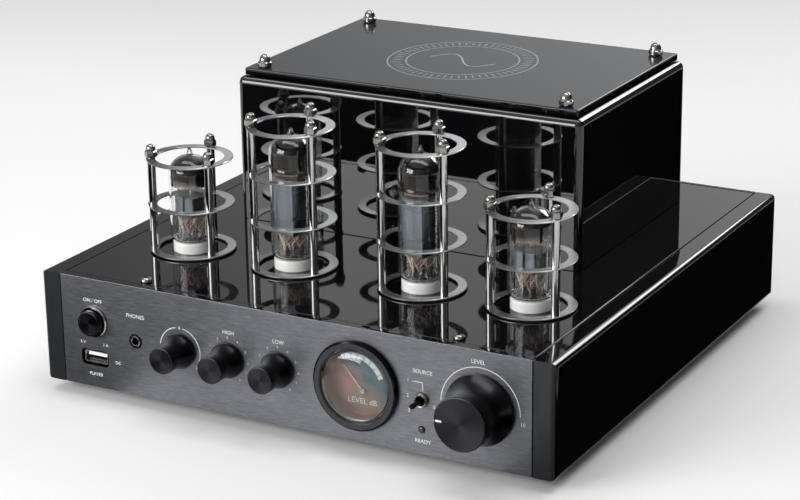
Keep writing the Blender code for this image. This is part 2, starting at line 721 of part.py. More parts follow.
def make_mains_inlet():
    inlet = connector("mains_inlet", INLET_X, INLET_FLANGE, INLET_FLANGE_THICKNESS, INLET_BODY, INLET_LENGTH)
    mouth = BACK_Y + SEAT_GAP + INLET_FLANGE_THICKNESS
    floor = mouth - INLET_RECESS_DEPTH
    recess = block(
        "inlet_recess",
        (INLET_X - INLET_RECESS[0] / 2, floor, REAR_Z - INLET_RECESS[1] / 2),
        (INLET_X + INLET_RECESS[0] / 2, mouth + CUT_OVERRUN, REAR_Z + INLET_RECESS[1] / 2),
    )
    cut(inlet, recess)
    for index, lift in ((-1, 0), (0, INLET_EARTH_LIFT), (1, 0)):
        x = INLET_X + index * INLET_BLADE_SPACING
        blade = block(
            "inlet_blade",
            (x - INLET_BLADE[0] / 2, floor - FUSE_OVERLAP, REAR_Z + lift - INLET_BLADE[1] / 2),
            (x + INLET_BLADE[0] / 2, mouth - INLET_BLADE_SETBACK, REAR_Z + lift + INLET_BLADE[1] / 2),
        )
        fuse(inlet, blade)


def make_line_inputs():
    piece = connector("line_input_jacks", LINE_X, LINE_PLATE, PLATE_THICKNESS, LINE_BLOCK, BLOCK_DEPTH)
    profile = (
        (0, 0),
        (LINE_JACK_BORE_RADIUS, 0),
        (LINE_JACK_BORE_RADIUS, LINE_JACK_LENGTH),
        (LINE_JACK_RADIUS, LINE_JACK_LENGTH),
        (LINE_JACK_RADIUS, -FUSE_OVERLAP),
        (0, -FUSE_OVERLAP),
    )
    half = LINE_JACK_SPACING / 2
    for _, along_x, along_z in corners(half, half):
        where = (LINE_X + along_x, BACK_Y + SEAT_GAP + PLATE_THICKNESS, REAR_Z + along_z)
        fuse(piece, turned("line_jack", profile, where, TOWARDS_BACK, ROD_STEPS))


def make_speaker_terminals():
    piece = connector(
        "speaker_terminals", SPEAKER_X, SPEAKER_PLATE, PLATE_THICKNESS, SPEAKER_BLOCK, BLOCK_DEPTH
    )
    profile = (
        (0, POST_LENGTH - POST_BORE_DEPTH),
        (POST_BORE_RADIUS, POST_LENGTH - POST_BORE_DEPTH),
        (POST_BORE_RADIUS, POST_LENGTH),
        (POST_RADIUS, POST_LENGTH),
        (POST_RADIUS, POST_NECK_LENGTH),
        (POST_NECK_RADIUS, POST_NECK_LENGTH),
        (POST_NECK_RADIUS, -FUSE_OVERLAP),
        (0, -FUSE_OVERLAP),
    )
    for index in range(POST_COUNT):
        along = (index - (POST_COUNT - 1) / 2) * POST_SPACING
        where = (SPEAKER_X + along, BACK_Y + SEAT_GAP + PLATE_THICKNESS, REAR_Z)
        fuse(piece, turned("speaker_post", profile, where, TOWARDS_BACK, ROD_STEPS))


def lid_screw_places():
    reach_x = COVER_WIDTH / 2 - LID_INSET - LID_SCREW_INSET_X
    reach_y = COVER_DEPTH / 2 - LID_INSET - LID_SCREW_INSET_Y
    for name, along_x, along_y in corners(reach_x, reach_y):
        yield f"lid_screw_{name}", COVER_CENTRE_X + along_x, COVER_MIDDLE_Y - LID_SCREW_FORWARD + along_y


def make_cover():
    """A box without a floor, rounded at its top and upright edges, then given its sheet inwards."""
    cover = block(
        "transformer_cover",
        (COVER_CENTRE_X - COVER_WIDTH / 2, COVER_FRONT_Y, COVER_FOOT_Z),
        (COVER_CENTRE_X + COVER_WIDTH / 2, COVER_FRONT_Y + COVER_DEPTH, COVER_TOP_Z),
        gloss_black,
    )
    shape = bmesh.new()
    shape.from_mesh(cover.data)
    floor = [face for face in shape.faces if face.normal.dot(Vector((0, 0, -1))) > 0.5]
    bmesh.ops.delete(shape, geom=floor, context="FACES_ONLY")
    shape.to_mesh(cover.data)
    shape.free()
    round_edges(cover, COVER_EDGE_RADIUS)
    sheet = cover.modifiers.new("Sheet", "SOLIDIFY")
    sheet.thickness = COVER_SHEET
    sheet.offset = -1
    sheet.use_even_offset = True
    for name, x, y in lid_screw_places():
        hole = bar(
            f"cover_hole_{name}",
            LID_SCREW_STEM_RADIUS + SEAT_GAP,
            COVER_SHEET + 2 * CUT_OVERRUN,
            (x, y, COVER_TOP_Z - COVER_SHEET - CUT_OVERRUN),
            steps=ROD_STEPS,
        )
        cut(cover, hole)


def make_lid():
    lid = block(
        "cover_lid",
        (COVER_CENTRE_X - COVER_WIDTH / 2 + LID_INSET, COVER_FRONT_Y + LID_INSET, LID_FOOT_Z),
        (COVER_CENTRE_X + COVER_WIDTH / 2 - LID_INSET, COVER_FRONT_Y + COVER_DEPTH - LID_INSET, LID_TOP_Z),
        lid_grey,
    )
    round_edges(lid, LID_EDGE_RADIUS, segments=1)
    screw_profile = (
        (0, LID_SCREW_FLANGE_HEIGHT + LID_SCREW_DOME_HEIGHT),
        (LID_SCREW_DOME_RADIUS / 2, LID_SCREW_FLANGE_HEIGHT + LID_SCREW_DOME_HEIGHT),
        (LID_SCREW_DOME_RADIUS, LID_SCREW_FLANGE_HEIGHT + LID_SCREW_DOME_HEIGHT / 2),
        (LID_SCREW_DOME_RADIUS, LID_SCREW_FLANGE_HEIGHT),
        (LID_SCREW_FLANGE_RADIUS, LID_SCREW_FLANGE_HEIGHT),
        (LID_SCREW_FLANGE_RADIUS, 0),
        (LID_SCREW_STEM_RADIUS, 0),
        (LID_SCREW_STEM_RADIUS, -LID_SCREW_STEM_LENGTH),
        (0, -LID_SCREW_STEM_LENGTH),
    )
    for name, x, y in lid_screw_places():
        hole = bar(
            f"lid_hole_{name}",
            LID_SCREW_STEM_RADIUS + SEAT_GAP,
            LID_THICKNESS + 2 * CUT_OVERRUN,
            (x, y, LID_FOOT_Z - CUT_OVERRUN),
            steps=ROD_STEPS,
        )
        cut(lid, hole)
        turned(name, screw_profile, (x, y, LID_TOP_Z + SEAT_GAP), steps=ROD_STEPS, material=chrome)


def transformer(name, x, core_shares, winding_shares):
    """A laminated core on the deck with its winding through the middle, both about one centre."""
    half = UNDER_COVER * Vector(core_shares) / 2
    centre = Vector((x, COVER_MIDDLE_Y, DECK_Z + SEAT_GAP + half.z))
    core = block(name, centre - half, centre + half, dark_steel)
    half = UNDER_COVER * Vector(winding_shares) / 2
    fuse(core, block(f"{name}_winding", centre - half, centre + half))


def make_transformers():
    spacing = UNDER_COVER.x * OUTPUT_PLACE_SHARE
    transformer("power_transformer", COVER_CENTRE_X, POWER_CORE_SHARES, POWER_WINDING_SHARES)
    for side, reach in (("left", -spacing), ("right", spacing)):
        name = f"output_transformer_{side}"
        transformer(name, COVER_CENTRE_X + reach, OUTPUT_CORE_SHARES, OUTPUT_WINDING_SHARES)


def make_main_board():
    low_y = FRONT_Y + BOARD_SETBACK
    board = block(
        "main_board",
        (-BOARD_WIDTH / 2, low_y, BOARD_TOP_Z - BOARD_THICKNESS),
        (BOARD_WIDTH / 2, low_y + BOARD_DEPTH, BOARD_TOP_Z),
        board_green,
    )
    foot = BOARD_TOP_Z - BOARD_THICKNESS - CAPACITOR_LENGTH
    for side in (-1, 1):
        capacitor = bar(
            "filter_capacitor",
            CAPACITOR_RADIUS,
            CAPACITOR_LENGTH + FUSE_OVERLAP,
            (side * CAPACITOR_SPACING / 2, low_y + BOARD_DEPTH * CAPACITOR_BOARD_SHARE, foot),
            steps=SMALL_STEPS,
        )
        fuse(board, capacitor)


def valve_glass_mesh(height):
    """A glass envelope, open at its foot, with a dome and a drawn pip."""
    shoulder = height - VALVE_PIP_HEIGHT - VALVE_DOME_HEIGHT
    dome_shares = (0.2, 0.6, 0.9)  # of the radius, from the pip out to the shoulder
    outer = [(0, height), (VALVE_PIP_RADIUS / 2, height - VALVE_PIP_HEIGHT / 3)]
    outer += [(share * VALVE_RADIUS, dome_height(shoulder, share, 0)) for share in dome_shares]
    outer += [
        (VALVE_RADIUS, shoulder),
        (VALVE_RADIUS, VALVE_FOOT_ROUND),
        (VALVE_RADIUS - VALVE_FOOT_ROUND, 0),
    ]
    inner = [
        (VALVE_RADIUS - VALVE_FOOT_ROUND - VALVE_GLASS, 0),
        (VALVE_RADIUS - VALVE_GLASS, VALVE_FOOT_ROUND + VALVE_GLASS),
        (VALVE_RADIUS - VALVE_GLASS, shoulder),
    ]
    inner += [
        (share * (VALVE_RADIUS - VALVE_GLASS), dome_height(shoulder, share, VALVE_GLASS))
        for share in reversed(dome_shares)
    ]
    inner.append((0, dome_height(shoulder, 0, VALVE_GLASS)))
    shell = turned("glass", outer + inner, (0, 0, 0), steps=RING_STEPS, material=clear_glass)
    return finished_mesh(shell, ())


def dome_height(shoulder, share, depth):
    """The height of a half ellipsoid over the shoulder, at this share of its radius."""
    return shoulder + (VALVE_DOME_HEIGHT - depth) * math.sqrt(1 - share * share)


def valve_inside_mesh(anode):
    """The glass button with its pins, and the electrodes that stand on it between two micas."""
    button_radius = VALVE_RADIUS - VALVE_FOOT_ROUND - VALVE_GLASS - SEAT_GAP
    mica_radius = VALVE_RADIUS - VALVE_GLASS - SEAT_GAP
    lower_mica = VALVE_BUTTON_HEIGHT + LEAD_HEIGHT
    upper_mica = lower_mica + MICA_THICKNESS + anode[2] - 2 * FUSE_OVERLAP
    getter = upper_mica + MICA_THICKNESS + GETTER_RISE
    body = bar("button", button_radius, VALVE_BUTTON_HEIGHT, (0, 0, 0), steps=ROD_STEPS, material=pale_metal)
    helpers = [
        bar("mica", mica_radius, MICA_THICKNESS, (0, 0, lower_mica), steps=ROD_STEPS),
        bar("mica", mica_radius, MICA_THICKNESS, (0, 0, upper_mica), steps=ROD_STEPS),
        bar("getter", GETTER_RADIUS, GETTER_THICKNESS, (0, 0, getter), steps=ROD_STEPS),
    ]
    inside = VALVE_BUTTON_HEIGHT - FUSE_OVERLAP
    helpers.append(
        bar("cathode", CATHODE_RADIUS, getter + FUSE_OVERLAP - inside, (0, 0, inside), steps=ROD_STEPS)
    )
    foot = lower_mica + MICA_THICKNESS - FUSE_OVERLAP
    half_x, half_y = anode[0] / 2, anode[1] / 2
    plate = block("anode", (-half_x, -half_y, foot), (half_x, half_y, foot + anode[2]))
    round_edges(plate, min(ANODE_EDGE_RADIUS, half_y), segments=1)
    helpers.append(plate)
    for side in (-1, 1):
        where = (side * SUPPORT_REACH, 0, inside)
        length = upper_mica + FUSE_OVERLAP - inside
        helpers.append(bar("support", SUPPORT_RADIUS, length, where, steps=PIN_STEPS))
    for index in range(PIN_COUNT):
        angle = (index + 1) * 2 * math.pi / PIN_POSITIONS
        where = (PIN_CIRCLE_RADIUS * math.cos(angle), PIN_CIRCLE_RADIUS * math.sin(angle), -PIN_LENGTH)
        helpers.append(bar("pin", PIN_RADIUS, PIN_LENGTH + FUSE_OVERLAP, where, steps=PIN_STEPS))
    fuse(body, *helpers)
    return finished_mesh(body, helpers)


def make_valves():
    glass = {False: valve_glass_mesh(SHORT_VALVE_HEIGHT), True: valve_glass_mesh(TALL_VALVE_HEIGHT)}
    inside = {
        False: valve_inside_mesh(SHORT_ANODE),
        True: valve_inside_mesh(TALL_ANODE),
    }
    for number, (x, tall) in enumerate(zip(VALVE_PLACES_X, VALVE_IS_TALL), 1):
        where = (x, VALVE_Y, GLASS_FOOT_Z)
        place(f"valve_{number}_glass", glass[tall], None, where)
        place(f"valve_{number}_electrodes", inside[tall], None, where)


def make_sockets():
    groove_inner = PIN_CIRCLE_RADIUS - PIN_RADIUS - SOCKET_GROOVE_MARGIN
    groove_outer = PIN_CIRCLE_RADIUS + PIN_RADIUS + SOCKET_GROOVE_MARGIN
    flange_top = -DECK_THICKNESS - SEAT_GAP
    foot = SOCKET_FOOT_Z - DECK_Z
    profile = (
        (0, SOCKET_RISE),
        (groove_inner, SOCKET_RISE),
        (groove_inner, SOCKET_RISE - SOCKET_GROOVE_DEPTH),
        (groove_outer, SOCKET_RISE - SOCKET_GROOVE_DEPTH),
        (groove_outer, SOCKET_RISE),
        (SOCKET_RADIUS, SOCKET_RISE),
        (SOCKET_RADIUS, flange_top),
        (SOCKET_FLANGE_RADIUS, flange_top),
        (SOCKET_FLANGE_RADIUS, flange_top - SOCKET_FLANGE_THICKNESS),
        (SOCKET_RADIUS, flange_top - SOCKET_FLANGE_THICKNESS),
        (SOCKET_RADIUS, foot),
        (0, foot),
    )
    for number, x in enumerate(VALVE_PLACES_X, 1):
        turned(
            f"valve_{number}_socket", profile, (x, VALVE_Y, DECK_Z), steps=RING_STEPS, material=white_ceramic
        )


def guard_mesh(ring_count):
    """Flat rings at one pitch on three rods, each rod with a cap nut above and a stud through the deck."""
    inner = GUARD_RING_OUTER_RADIUS - GUARD_RING_BAND
    ring = (
        (inner, GUARD_RING_THICKNESS),
        (GUARD_RING_OUTER_RADIUS, GUARD_RING_THICKNESS),
        (GUARD_RING_OUTER_RADIUS, 0),
        (inner, 0),
    )
    rings = []
    for level in range(ring_count):
        where = (0, 0, level * GUARD_RING_PITCH)
        rings.append(turned("ring", ring, where, steps=RING_STEPS, material=satin_steel, ring=True))
    top = (ring_count - 1) * GUARD_RING_PITCH + GUARD_RING_THICKNESS
    nut_foot = top - FUSE_OVERLAP
    nut_top = top + GUARD_NUT_HEIGHT
    stud_foot = -SEAT_GAP - DECK_THICKNESS - GUARD_STUD_DROP
    shoulder = GUARD_RING_THICKNESS / 2
    rod = (
        (0, nut_top + GUARD_CAP_HEIGHT),
        (GUARD_CAP_RADIUS / 2, nut_top + GUARD_CAP_HEIGHT),
        (GUARD_CAP_RADIUS, nut_top + GUARD_CAP_HEIGHT / 2),
        (GUARD_CAP_RADIUS, nut_top),
        (GUARD_NUT_RADIUS, nut_top),
        (GUARD_NUT_RADIUS, nut_foot),
        (GUARD_ROD_RADIUS, nut_foot),
        (GUARD_ROD_RADIUS, shoulder),
        (GUARD_STUD_RADIUS, shoulder),
        (GUARD_STUD_RADIUS, stud_foot),
        (0, stud_foot),
    )
    rods = [
        turned("rod", rod, (rod_x, rod_y - VALVE_Y, 0), steps=ROD_STEPS)
        for rod_x, rod_y in guard_rod_places(0)
    ]
    helpers = (*rods, *rings[1:])
    fuse(rings[0], *helpers)
    return finished_mesh(rings[0], helpers)


def make_guards():
    guard = {False: guard_mesh(SHORT_GUARD_RINGS), True: guard_mesh(TALL_GUARD_RINGS)}
    for number, (x, tall) in enumerate(zip(VALVE_PLACES_X, VALVE_IS_TALL), 1):
        place(f"valve_{number}_guard", guard[tall], None, (x, VALVE_Y, DECK_Z + SEAT_GAP))


def make_power_switch():
    where = (POWER_X, FRONT_Y - SEAT_GAP, CONTROL_Z + POWER_LIFT)
    bore = BUTTON_RADIUS + BUTTON_CLEARANCE
    floor = SWITCH_BEZEL_HEIGHT - SWITCH_BORE_DEPTH
    barrel = (
        (0, floor),
        (bore, floor),
        (bore, SWITCH_BEZEL_HEIGHT),
        (SWITCH_BEZEL_RADIUS, SWITCH_BEZEL_HEIGHT),
        (SWITCH_BEZEL_RADIUS, 0),
        (SWITCH_BARREL_RADIUS, 0),
        (SWITCH_BARREL_RADIUS, -SWITCH_BARREL_LENGTH),
        (0, -SWITCH_BARREL_LENGTH),
    )
    turned("power_switch", barrel, where, TOWARDS_FRONT, material=chrome)
    face = SWITCH_BEZEL_HEIGHT + BUTTON_PROUD
    button = (
        (0, face),
        (BUTTON_RADIUS - BUTTON_EDGE, face),
        (BUTTON_RADIUS, face - BUTTON_EDGE),
        (BUTTON_RADIUS, SWITCH_BEZEL_HEIGHT - BUTTON_SKIRT),
        (0, SWITCH_BEZEL_HEIGHT - BUTTON_SKIRT),
    )
    turned("power_button", button, where, TOWARDS_FRONT, material=satin_black)


def make_headphone_jack():
    inside = FRONT_THICKNESS + SEAT_GAP
    where = (JACK_X, FRONT_Y, CONTROL_Z)
    width, depth, height = JACK_BODY
    bore_floor = -(inside + depth) / 2
    bush = (
        (0, bore_floor),
        (JACK_BORE_RADIUS, bore_floor),
        (JACK_BORE_RADIUS, JACK_BUSH_PROUD),
        (JACK_BUSH_RADIUS, JACK_BUSH_PROUD),
        (JACK_BUSH_RADIUS, -inside - depth / 2),
        (0, -inside - depth / 2),
    )
    jack = turned("headphone_jack", bush, where, TOWARDS_FRONT, SMALL_STEPS, chrome)
    low_y = FRONT_Y + inside
    body = block(
        "jack_body",
        (JACK_X - width / 2, low_y, CONTROL_Z - height / 2),
        (JACK_X + width / 2, low_y + depth, CONTROL_Z + height / 2),
    )
    bore = bar(
        "jack_bore",
        JACK_BORE_RADIUS,
        CUT_OVERRUN + JACK_BUSH_PROUD - bore_floor,
        (JACK_X, FRONT_Y - bore_floor, CONTROL_Z),
        TOWARDS_FRONT,
        SMALL_STEPS,
    )
    fuse(jack, body)
    cut(jack, bore)


def make_usb_socket():
    z = CONTROL_Z - USB_DROP
    width, height = USB_SHELL
    mouth = FRONT_Y + USB_RECESS
    back = mouth + USB_LENGTH
    shell = block(
        "usb_socket",
        (USB_X - width / 2, mouth, z - height / 2),
        (USB_X + width / 2, back, z + height / 2),
        chrome,
    )
    opening = block(
        "usb_opening",
        (USB_X - width / 2 + USB_WALL, mouth - CUT_OVERRUN, z - height / 2 + USB_WALL),
        (USB_X + width / 2 - USB_WALL, back - USB_BACK_WALL, z + height / 2 - USB_WALL),
    )
    cut(shell, opening)
    tongue_width, tongue_height = USB_TONGUE
    tongue_z = z + USB_TONGUE_LIFT
    tongue = block(
        "usb_tongue",
        (USB_X - tongue_width / 2, mouth + USB_TONGUE_SETBACK, tongue_z - tongue_height / 2),
        (USB_X + tongue_width / 2, back - USB_BACK_WALL + FUSE_OVERLAP, tongue_z + tongue_height / 2),
    )
    board_top = z - height / 2 + FUSE_OVERLAP
    board = block(
        "usb_board",
        (USB_X - USB_BOARD_WIDTH / 2, INNER_FRONT_Y, board_top - BOARD_THICKNESS),
        (USB_X + USB_BOARD_WIDTH / 2, INNER_FRONT_Y + USB_BOARD_DEPTH, board_top),
    )
    fuse(shell, tongue, board)


def knob(name, x, base_radius, face_radius, length):
    """A knob that flares towards its base, with the shaft that it is pressed on."""
    straight = length * (1 - KNOB_STRAIGHT_SHARE)
    profile = [(0, length), (face_radius - KNOB_CHAMFER, length), (face_radius, length - KNOB_CHAMFER)]
    for step in range(KNOB_FLARE_POINTS + 1):
        share = step / KNOB_FLARE_POINTS
        profile.append(
            (
                face_radius + (base_radius - face_radius) * share**2,
                straight + (KNOB_RIM - straight) * share,
            )
        )
    shaft_end = -(KNOB_GAP + FRONT_THICKNESS + SEAT_GAP + SHAFT_ENTRY)
    profile += [(base_radius, 0), (SHAFT_RADIUS, 0), (SHAFT_RADIUS, shaft_end), (0, shaft_end)]
    turned(name, profile, (x, FRONT_Y - KNOB_GAP, CONTROL_Z), TOWARDS_FRONT, material=black_aluminium)


def potentiometer(name, x, can_radius, material=None):
    """A can behind the panel with a threaded bush that ends flush with the panel's face."""
    bore = SHAFT_RADIUS + SHAFT_CLEARANCE
    can_front = -(FRONT_THICKNESS + SEAT_GAP)
    bore_floor = can_front - SHAFT_ENTRY - SEAT_GAP
    can_back = bore_floor - CAN_BACK
    profile = (
        (0, bore_floor),
        (bore, bore_floor),
        (bore, 0),
        (BUSH_RADIUS, 0),
        (BUSH_RADIUS, can_front),
        (can_radius, can_front),
        (can_radius, can_back),
        (0, can_back),
    )
    where = (x, FRONT_Y, CONTROL_Z)
    return turned(name, profile, where, TOWARDS_FRONT, SMALL_STEPS, material)


def make_controls():
    knob("balance_knob", BALANCE_X, TONE_BASE_RADIUS, TONE_FACE_RADIUS, TONE_LENGTH)
    knob("treble_knob", TREBLE_X, TONE_BASE_RADIUS, TONE_FACE_RADIUS, TONE_LENGTH)
    knob("bass_knob", BASS_X, TONE_BASE_RADIUS, TONE_FACE_RADIUS, TONE_LENGTH)
    knob("volume_knob", VOLUME_X, VOLUME_BASE_RADIUS, VOLUME_FACE_RADIUS, VOLUME_LENGTH)
    potentiometer("volume_potentiometer", VOLUME_X, VOLUME_CAN_RADIUS, dark_steel)
    back = FRONT_Y + FRONT_THICKNESS + 2 * SEAT_GAP + SHAFT_ENTRY + CAN_BACK
    board = block(
        "tone_potentiometers",
        (BALANCE_X - TONE_BOARD_MARGIN, back - FUSE_OVERLAP, CONTROL_Z - TONE_BOARD_HEIGHT / 2),
        (BASS_X + TONE_BOARD_MARGIN, back + BOARD_THICKNESS, CONTROL_Z + TONE_BOARD_HEIGHT / 2),
        board_green,
    )
    for name, x in (("balance_can", BALANCE_X), ("treble_can", TREBLE_X), ("bass_can", BASS_X)):
        fuse(board, potentiometer(name, x, TONE_CAN_RADIUS))


def make_meter():
    where = (METER_X, FRONT_Y, CONTROL_Z)
    face = SEAT_GAP + METER_BEZEL_HEIGHT
    bezel = (
        (METER_WINDOW_RADIUS, face),
        (METER_BEZEL_RADIUS - METER_BEZEL_CHAMFER, face),
        (METER_BEZEL_RADIUS, face - METER_BEZEL_CHAMFER),
        (METER_BEZEL_RADIUS, SEAT_GAP),
        (METER_WINDOW_RADIUS, SEAT_GAP),
    )
    turned("meter_bezel", bezel, where, TOWARDS_FRONT, LARGE_STEPS, satin_black, ring=True)
    rim = -METER_RIM_DEPTH
    case_floor = rim - METER_CASE_DEPTH + METER_CASE_WALL
    inner = METER_CASE_RADIUS - METER_CASE_WALL
    case = (
        (0, case_floor),
        (inner, case_floor),
        (inner, rim),
        (METER_CASE_RADIUS, rim),
        (METER_CASE_RADIUS, rim - METER_CASE_DEPTH),
        (0, rim - METER_CASE_DEPTH),
    )
    meter_case = turned("meter_case", case, where, TOWARDS_FRONT, material=black_plastic)
    dial_face = rim - DIAL_DEPTH
    dial_back = dial_face - DIAL_THICKNESS
    pivot = (METER_X, FRONT_Y, CONTROL_Z - NEEDLE_PIVOT_DROP)
    bearing = NEEDLE_SPINDLE_RADIUS + SEAT_GAP
    spindle_end = dial_back - SEAT_GAP - NEEDLE_SPINDLE_ENTRY
    movement = (
        (0, spindle_end - SEAT_GAP),
        (bearing, spindle_end - SEAT_GAP),
        (bearing, dial_back - SEAT_GAP),
        (MOVEMENT_RADIUS, dial_back - SEAT_GAP),
        (MOVEMENT_RADIUS, case_floor - FUSE_OVERLAP),
        (0, case_floor - FUSE_OVERLAP),
    )
    fuse(meter_case, turned("movement", movement, pivot, TOWARDS_FRONT, SMALL_STEPS))
    dial = bar(
        "meter_dial",
        inner - SEAT_GAP,
        DIAL_THICKNESS,
        (METER_X, FRONT_Y - dial_back, CONTROL_Z),
        TOWARDS_FRONT,
        ROUND_STEPS,
        dial_cream,
    )
    hole = bar(
        "dial_hole",
        bearing,
        DIAL_THICKNESS + 2 * CUT_OVERRUN,
        (pivot[0], FRONT_Y - dial_back + CUT_OVERRUN, pivot[2]),
        TOWARDS_FRONT,
        ROD_STEPS,
    )
    cut(dial, hole)
    make_needle(pivot, dial_face, spindle_end)
    make_lens(where, rim)


def make_needle(pivot, dial_face, spindle_end):
    """A hub on a spindle with a flat pointer, its origin on the spindle's axis."""
    hub_foot = dial_face + SEAT_GAP
    hub_top = hub_foot + NEEDLE_HUB_THICKNESS
    hub = (
        (0, hub_top),
        (NEEDLE_HUB_RADIUS, hub_top),
        (NEEDLE_HUB_RADIUS, hub_foot),
        (NEEDLE_SPINDLE_RADIUS, hub_foot),
        (NEEDLE_SPINDLE_RADIUS, spindle_end),
        (0, spindle_end),
    )
    needle = turned("meter_needle", hub, pivot, TOWARDS_FRONT, ROD_STEPS, pale_metal)
    low = dial_face + NEEDLE_LIFT - NEEDLE_THICKNESS / 2
    pointer = block(
        "pointer",
        (-NEEDLE_WIDTH / 2, 0, low),
        (NEEDLE_WIDTH / 2, NEEDLE_LENGTH, low + NEEDLE_THICKNESS),
    )
    # The pointer is drawn straight up in the needle's own frame, then swung to rest about the spindle.
    about_pivot = needle.matrix_basis @ Matrix.Rotation(-NEEDLE_REST_ANGLE, 4, "Z")
    pointer.matrix_basis = about_pivot @ pointer.matrix_basis
    fuse(needle, pointer)


def make_lens(where, rim):
    """A domed window that stands on the case's rim inside the bezel."""
    foot = rim + SEAT_GAP
    radius = METER_WINDOW_RADIUS - SEAT_GAP
    edge = foot + LENS_CYLINDER

    def dome(reach, rise, order):
        for step in order:
            angle = step * math.pi / 2 / LENS_POINTS
            yield reach * math.sin(angle), edge + rise * math.cos(angle)

    outer = list(dome(radius, LENS_DOME, range(LENS_POINTS + 1)))
    inner_radius = radius - LENS_THICKNESS
    inner = list(dome(inner_radius, LENS_DOME - LENS_THICKNESS, range(LENS_POINTS, -1, -1)))
    profile = [*outer, (radius, foot), (inner_radius, foot), *inner]
    turned("meter_lens", profile, where, TOWARDS_FRONT, material=clear_glass)


def make_input_selector():
    z = CONTROL_Z - TOGGLE_DROP
    where = (TOGGLE_X, FRONT_Y, z)
    width, height, depth = TOGGLE_BODY
    inside = FRONT_THICKNESS + SEAT_GAP
    floor = -(TOGGLE_PIVOT_DEPTH + TOGGLE_BALL_RADIUS + SEAT_GAP)
    bush = (
        (0, floor),
        (TOGGLE_BORE_RADIUS, floor),
        (TOGGLE_BORE_RADIUS, TOGGLE_BUSH_PROUD),
        (TOGGLE_BUSH_RADIUS, TOGGLE_BUSH_PROUD),
        (TOGGLE_BUSH_RADIUS, -inside - depth / 2),
        (0, -inside - depth / 2),
    )
    switch = turned("toggle_switch", bush, where, TOWARDS_FRONT, SMALL_STEPS, chrome)
    body = block(
        "toggle_body",
        (TOGGLE_X - width / 2, FRONT_Y + inside, z - height / 2),
        (TOGGLE_X + width / 2, FRONT_Y + inside + depth, z + height / 2),
    )
    bore = bar(
        "toggle_bore",
        TOGGLE_BORE_RADIUS,
        CUT_OVERRUN + TOGGLE_BUSH_PROUD - floor,
        (TOGGLE_X, FRONT_Y - floor, z),
        TOWARDS_FRONT,
        SMALL_STEPS,
    )
    fuse(switch, body)
    cut(switch, bore)
    tip = TOGGLE_PIVOT_DEPTH + TOGGLE_REACH
    ball_angles = (45 * DEGREE, 0, -45 * DEGREE)
    lever = [
        (0, tip),
        (TOGGLE_TIP_RADIUS / 2, tip),
        (TOGGLE_TIP_RADIUS, tip - TOGGLE_TIP_RADIUS / 2),
        (TOGGLE_TIP_RADIUS, tip - 2 * TOGGLE_TIP_RADIUS),
        (TOGGLE_NECK_RADIUS, TOGGLE_BALL_RADIUS),
    ]
    lever += [(TOGGLE_BALL_RADIUS * math.cos(a), TOGGLE_BALL_RADIUS * math.sin(a)) for a in ball_angles]
    lever.append((0, -TOGGLE_BALL_RADIUS))
    pivot = (TOGGLE_X, FRONT_Y + TOGGLE_PIVOT_DEPTH, z)
    turned("toggle_lever", lever, pivot, TOWARDS_FRONT, SMALL_STEPS, chrome)


def make_indicator():
    flange = -(FRONT_THICKNESS + SEAT_GAP)
    profile = (
        (0, LED_PROUD),
        (LED_RADIUS / 2, LED_PROUD),
        (LED_RADIUS, 0),
        (LED_RADIUS, flange),
        (LED_FLANGE_RADIUS, flange),
        (LED_FLANGE_RADIUS, flange - LED_FLANGE_THICKNESS),
        (LED_RADIUS, flange - LED_FLANGE_THICKNESS),
        (LED_RADIUS, -LED_BODY_LENGTH),
        (0, -LED_BODY_LENGTH),
    )
    where = (LED_X, FRONT_Y, CONTROL_Z - LED_DROP)
    turned("indicator_led", profile, where, TOWARDS_FRONT, ROD_STEPS, clear_glass)


clear_scene()
parts = new_collection("Integrated_amplifier")
cutters = new_collection("Cutters")

gloss_black = finish("gloss_black", (0.012, 0.012, 0.013), 0.08)
satin_black = finish("satin_black", (0.03, 0.03, 0.032), 0.4)
brushed_grey = finish("brushed_grey", (0.13, 0.135, 0.145), 0.42, 0.7)
lid_grey = finish("lid_grey", (0.1, 0.105, 0.11), 0.2)
black_aluminium = finish("black_aluminium", (0.03, 0.03, 0.032), 0.3, 0.4)
grey_steel = finish("grey_steel", (0.35, 0.35, 0.36), 0.45, 0.9)
dark_steel = finish("dark_steel", (0.12, 0.12, 0.13), 0.5, 0.6)
satin_steel = finish("satin_steel", (0.62, 0.62, 0.6), 0.3, 0.9)
chrome = finish("chrome", (0.78, 0.77, 0.75), 0.12, 1.0)
pale_metal = finish("pale_metal", (0.5, 0.52, 0.54), 0.4, 0.6)
white_ceramic = finish("white_ceramic", (0.85, 0.85, 0.83), 0.35)
clear_glass = finish("clear_glass", (0.9, 0.92, 0.92), 0.03, 0.0, 0.3)
black_rubber = finish("black_rubber", (0.02, 0.02, 0.02), 0.8)
black_plastic = finish("black_plastic", (0.025, 0.025, 0.025), 0.5)
board_green = finish("board_green", (0.02, 0.12, 0.05), 0.5)
dial_cream = finish("dial_cream", (0.6, 0.5, 0.4), 0.5)

make_cheeks()
make_tray()
make_feet()
make_deck()
make_deck_screws()
make_front_panel()
make_rear_panel()
make_mains_inlet()
make_line_inputs()
make_speaker_terminals()
make_cover()
make_lid()
make_transformers()
make_main_board()
make_sockets()
make_valves()
make_guards()
make_power_switch()
make_headphone_jack()
make_usb_socket()
make_controls()
make_meter()
make_input_selector()
make_indicator()
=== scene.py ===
from math import cos, pi, radians, sin, sqrt

import bmesh
import bpy
from mathutils import Matrix, Vector


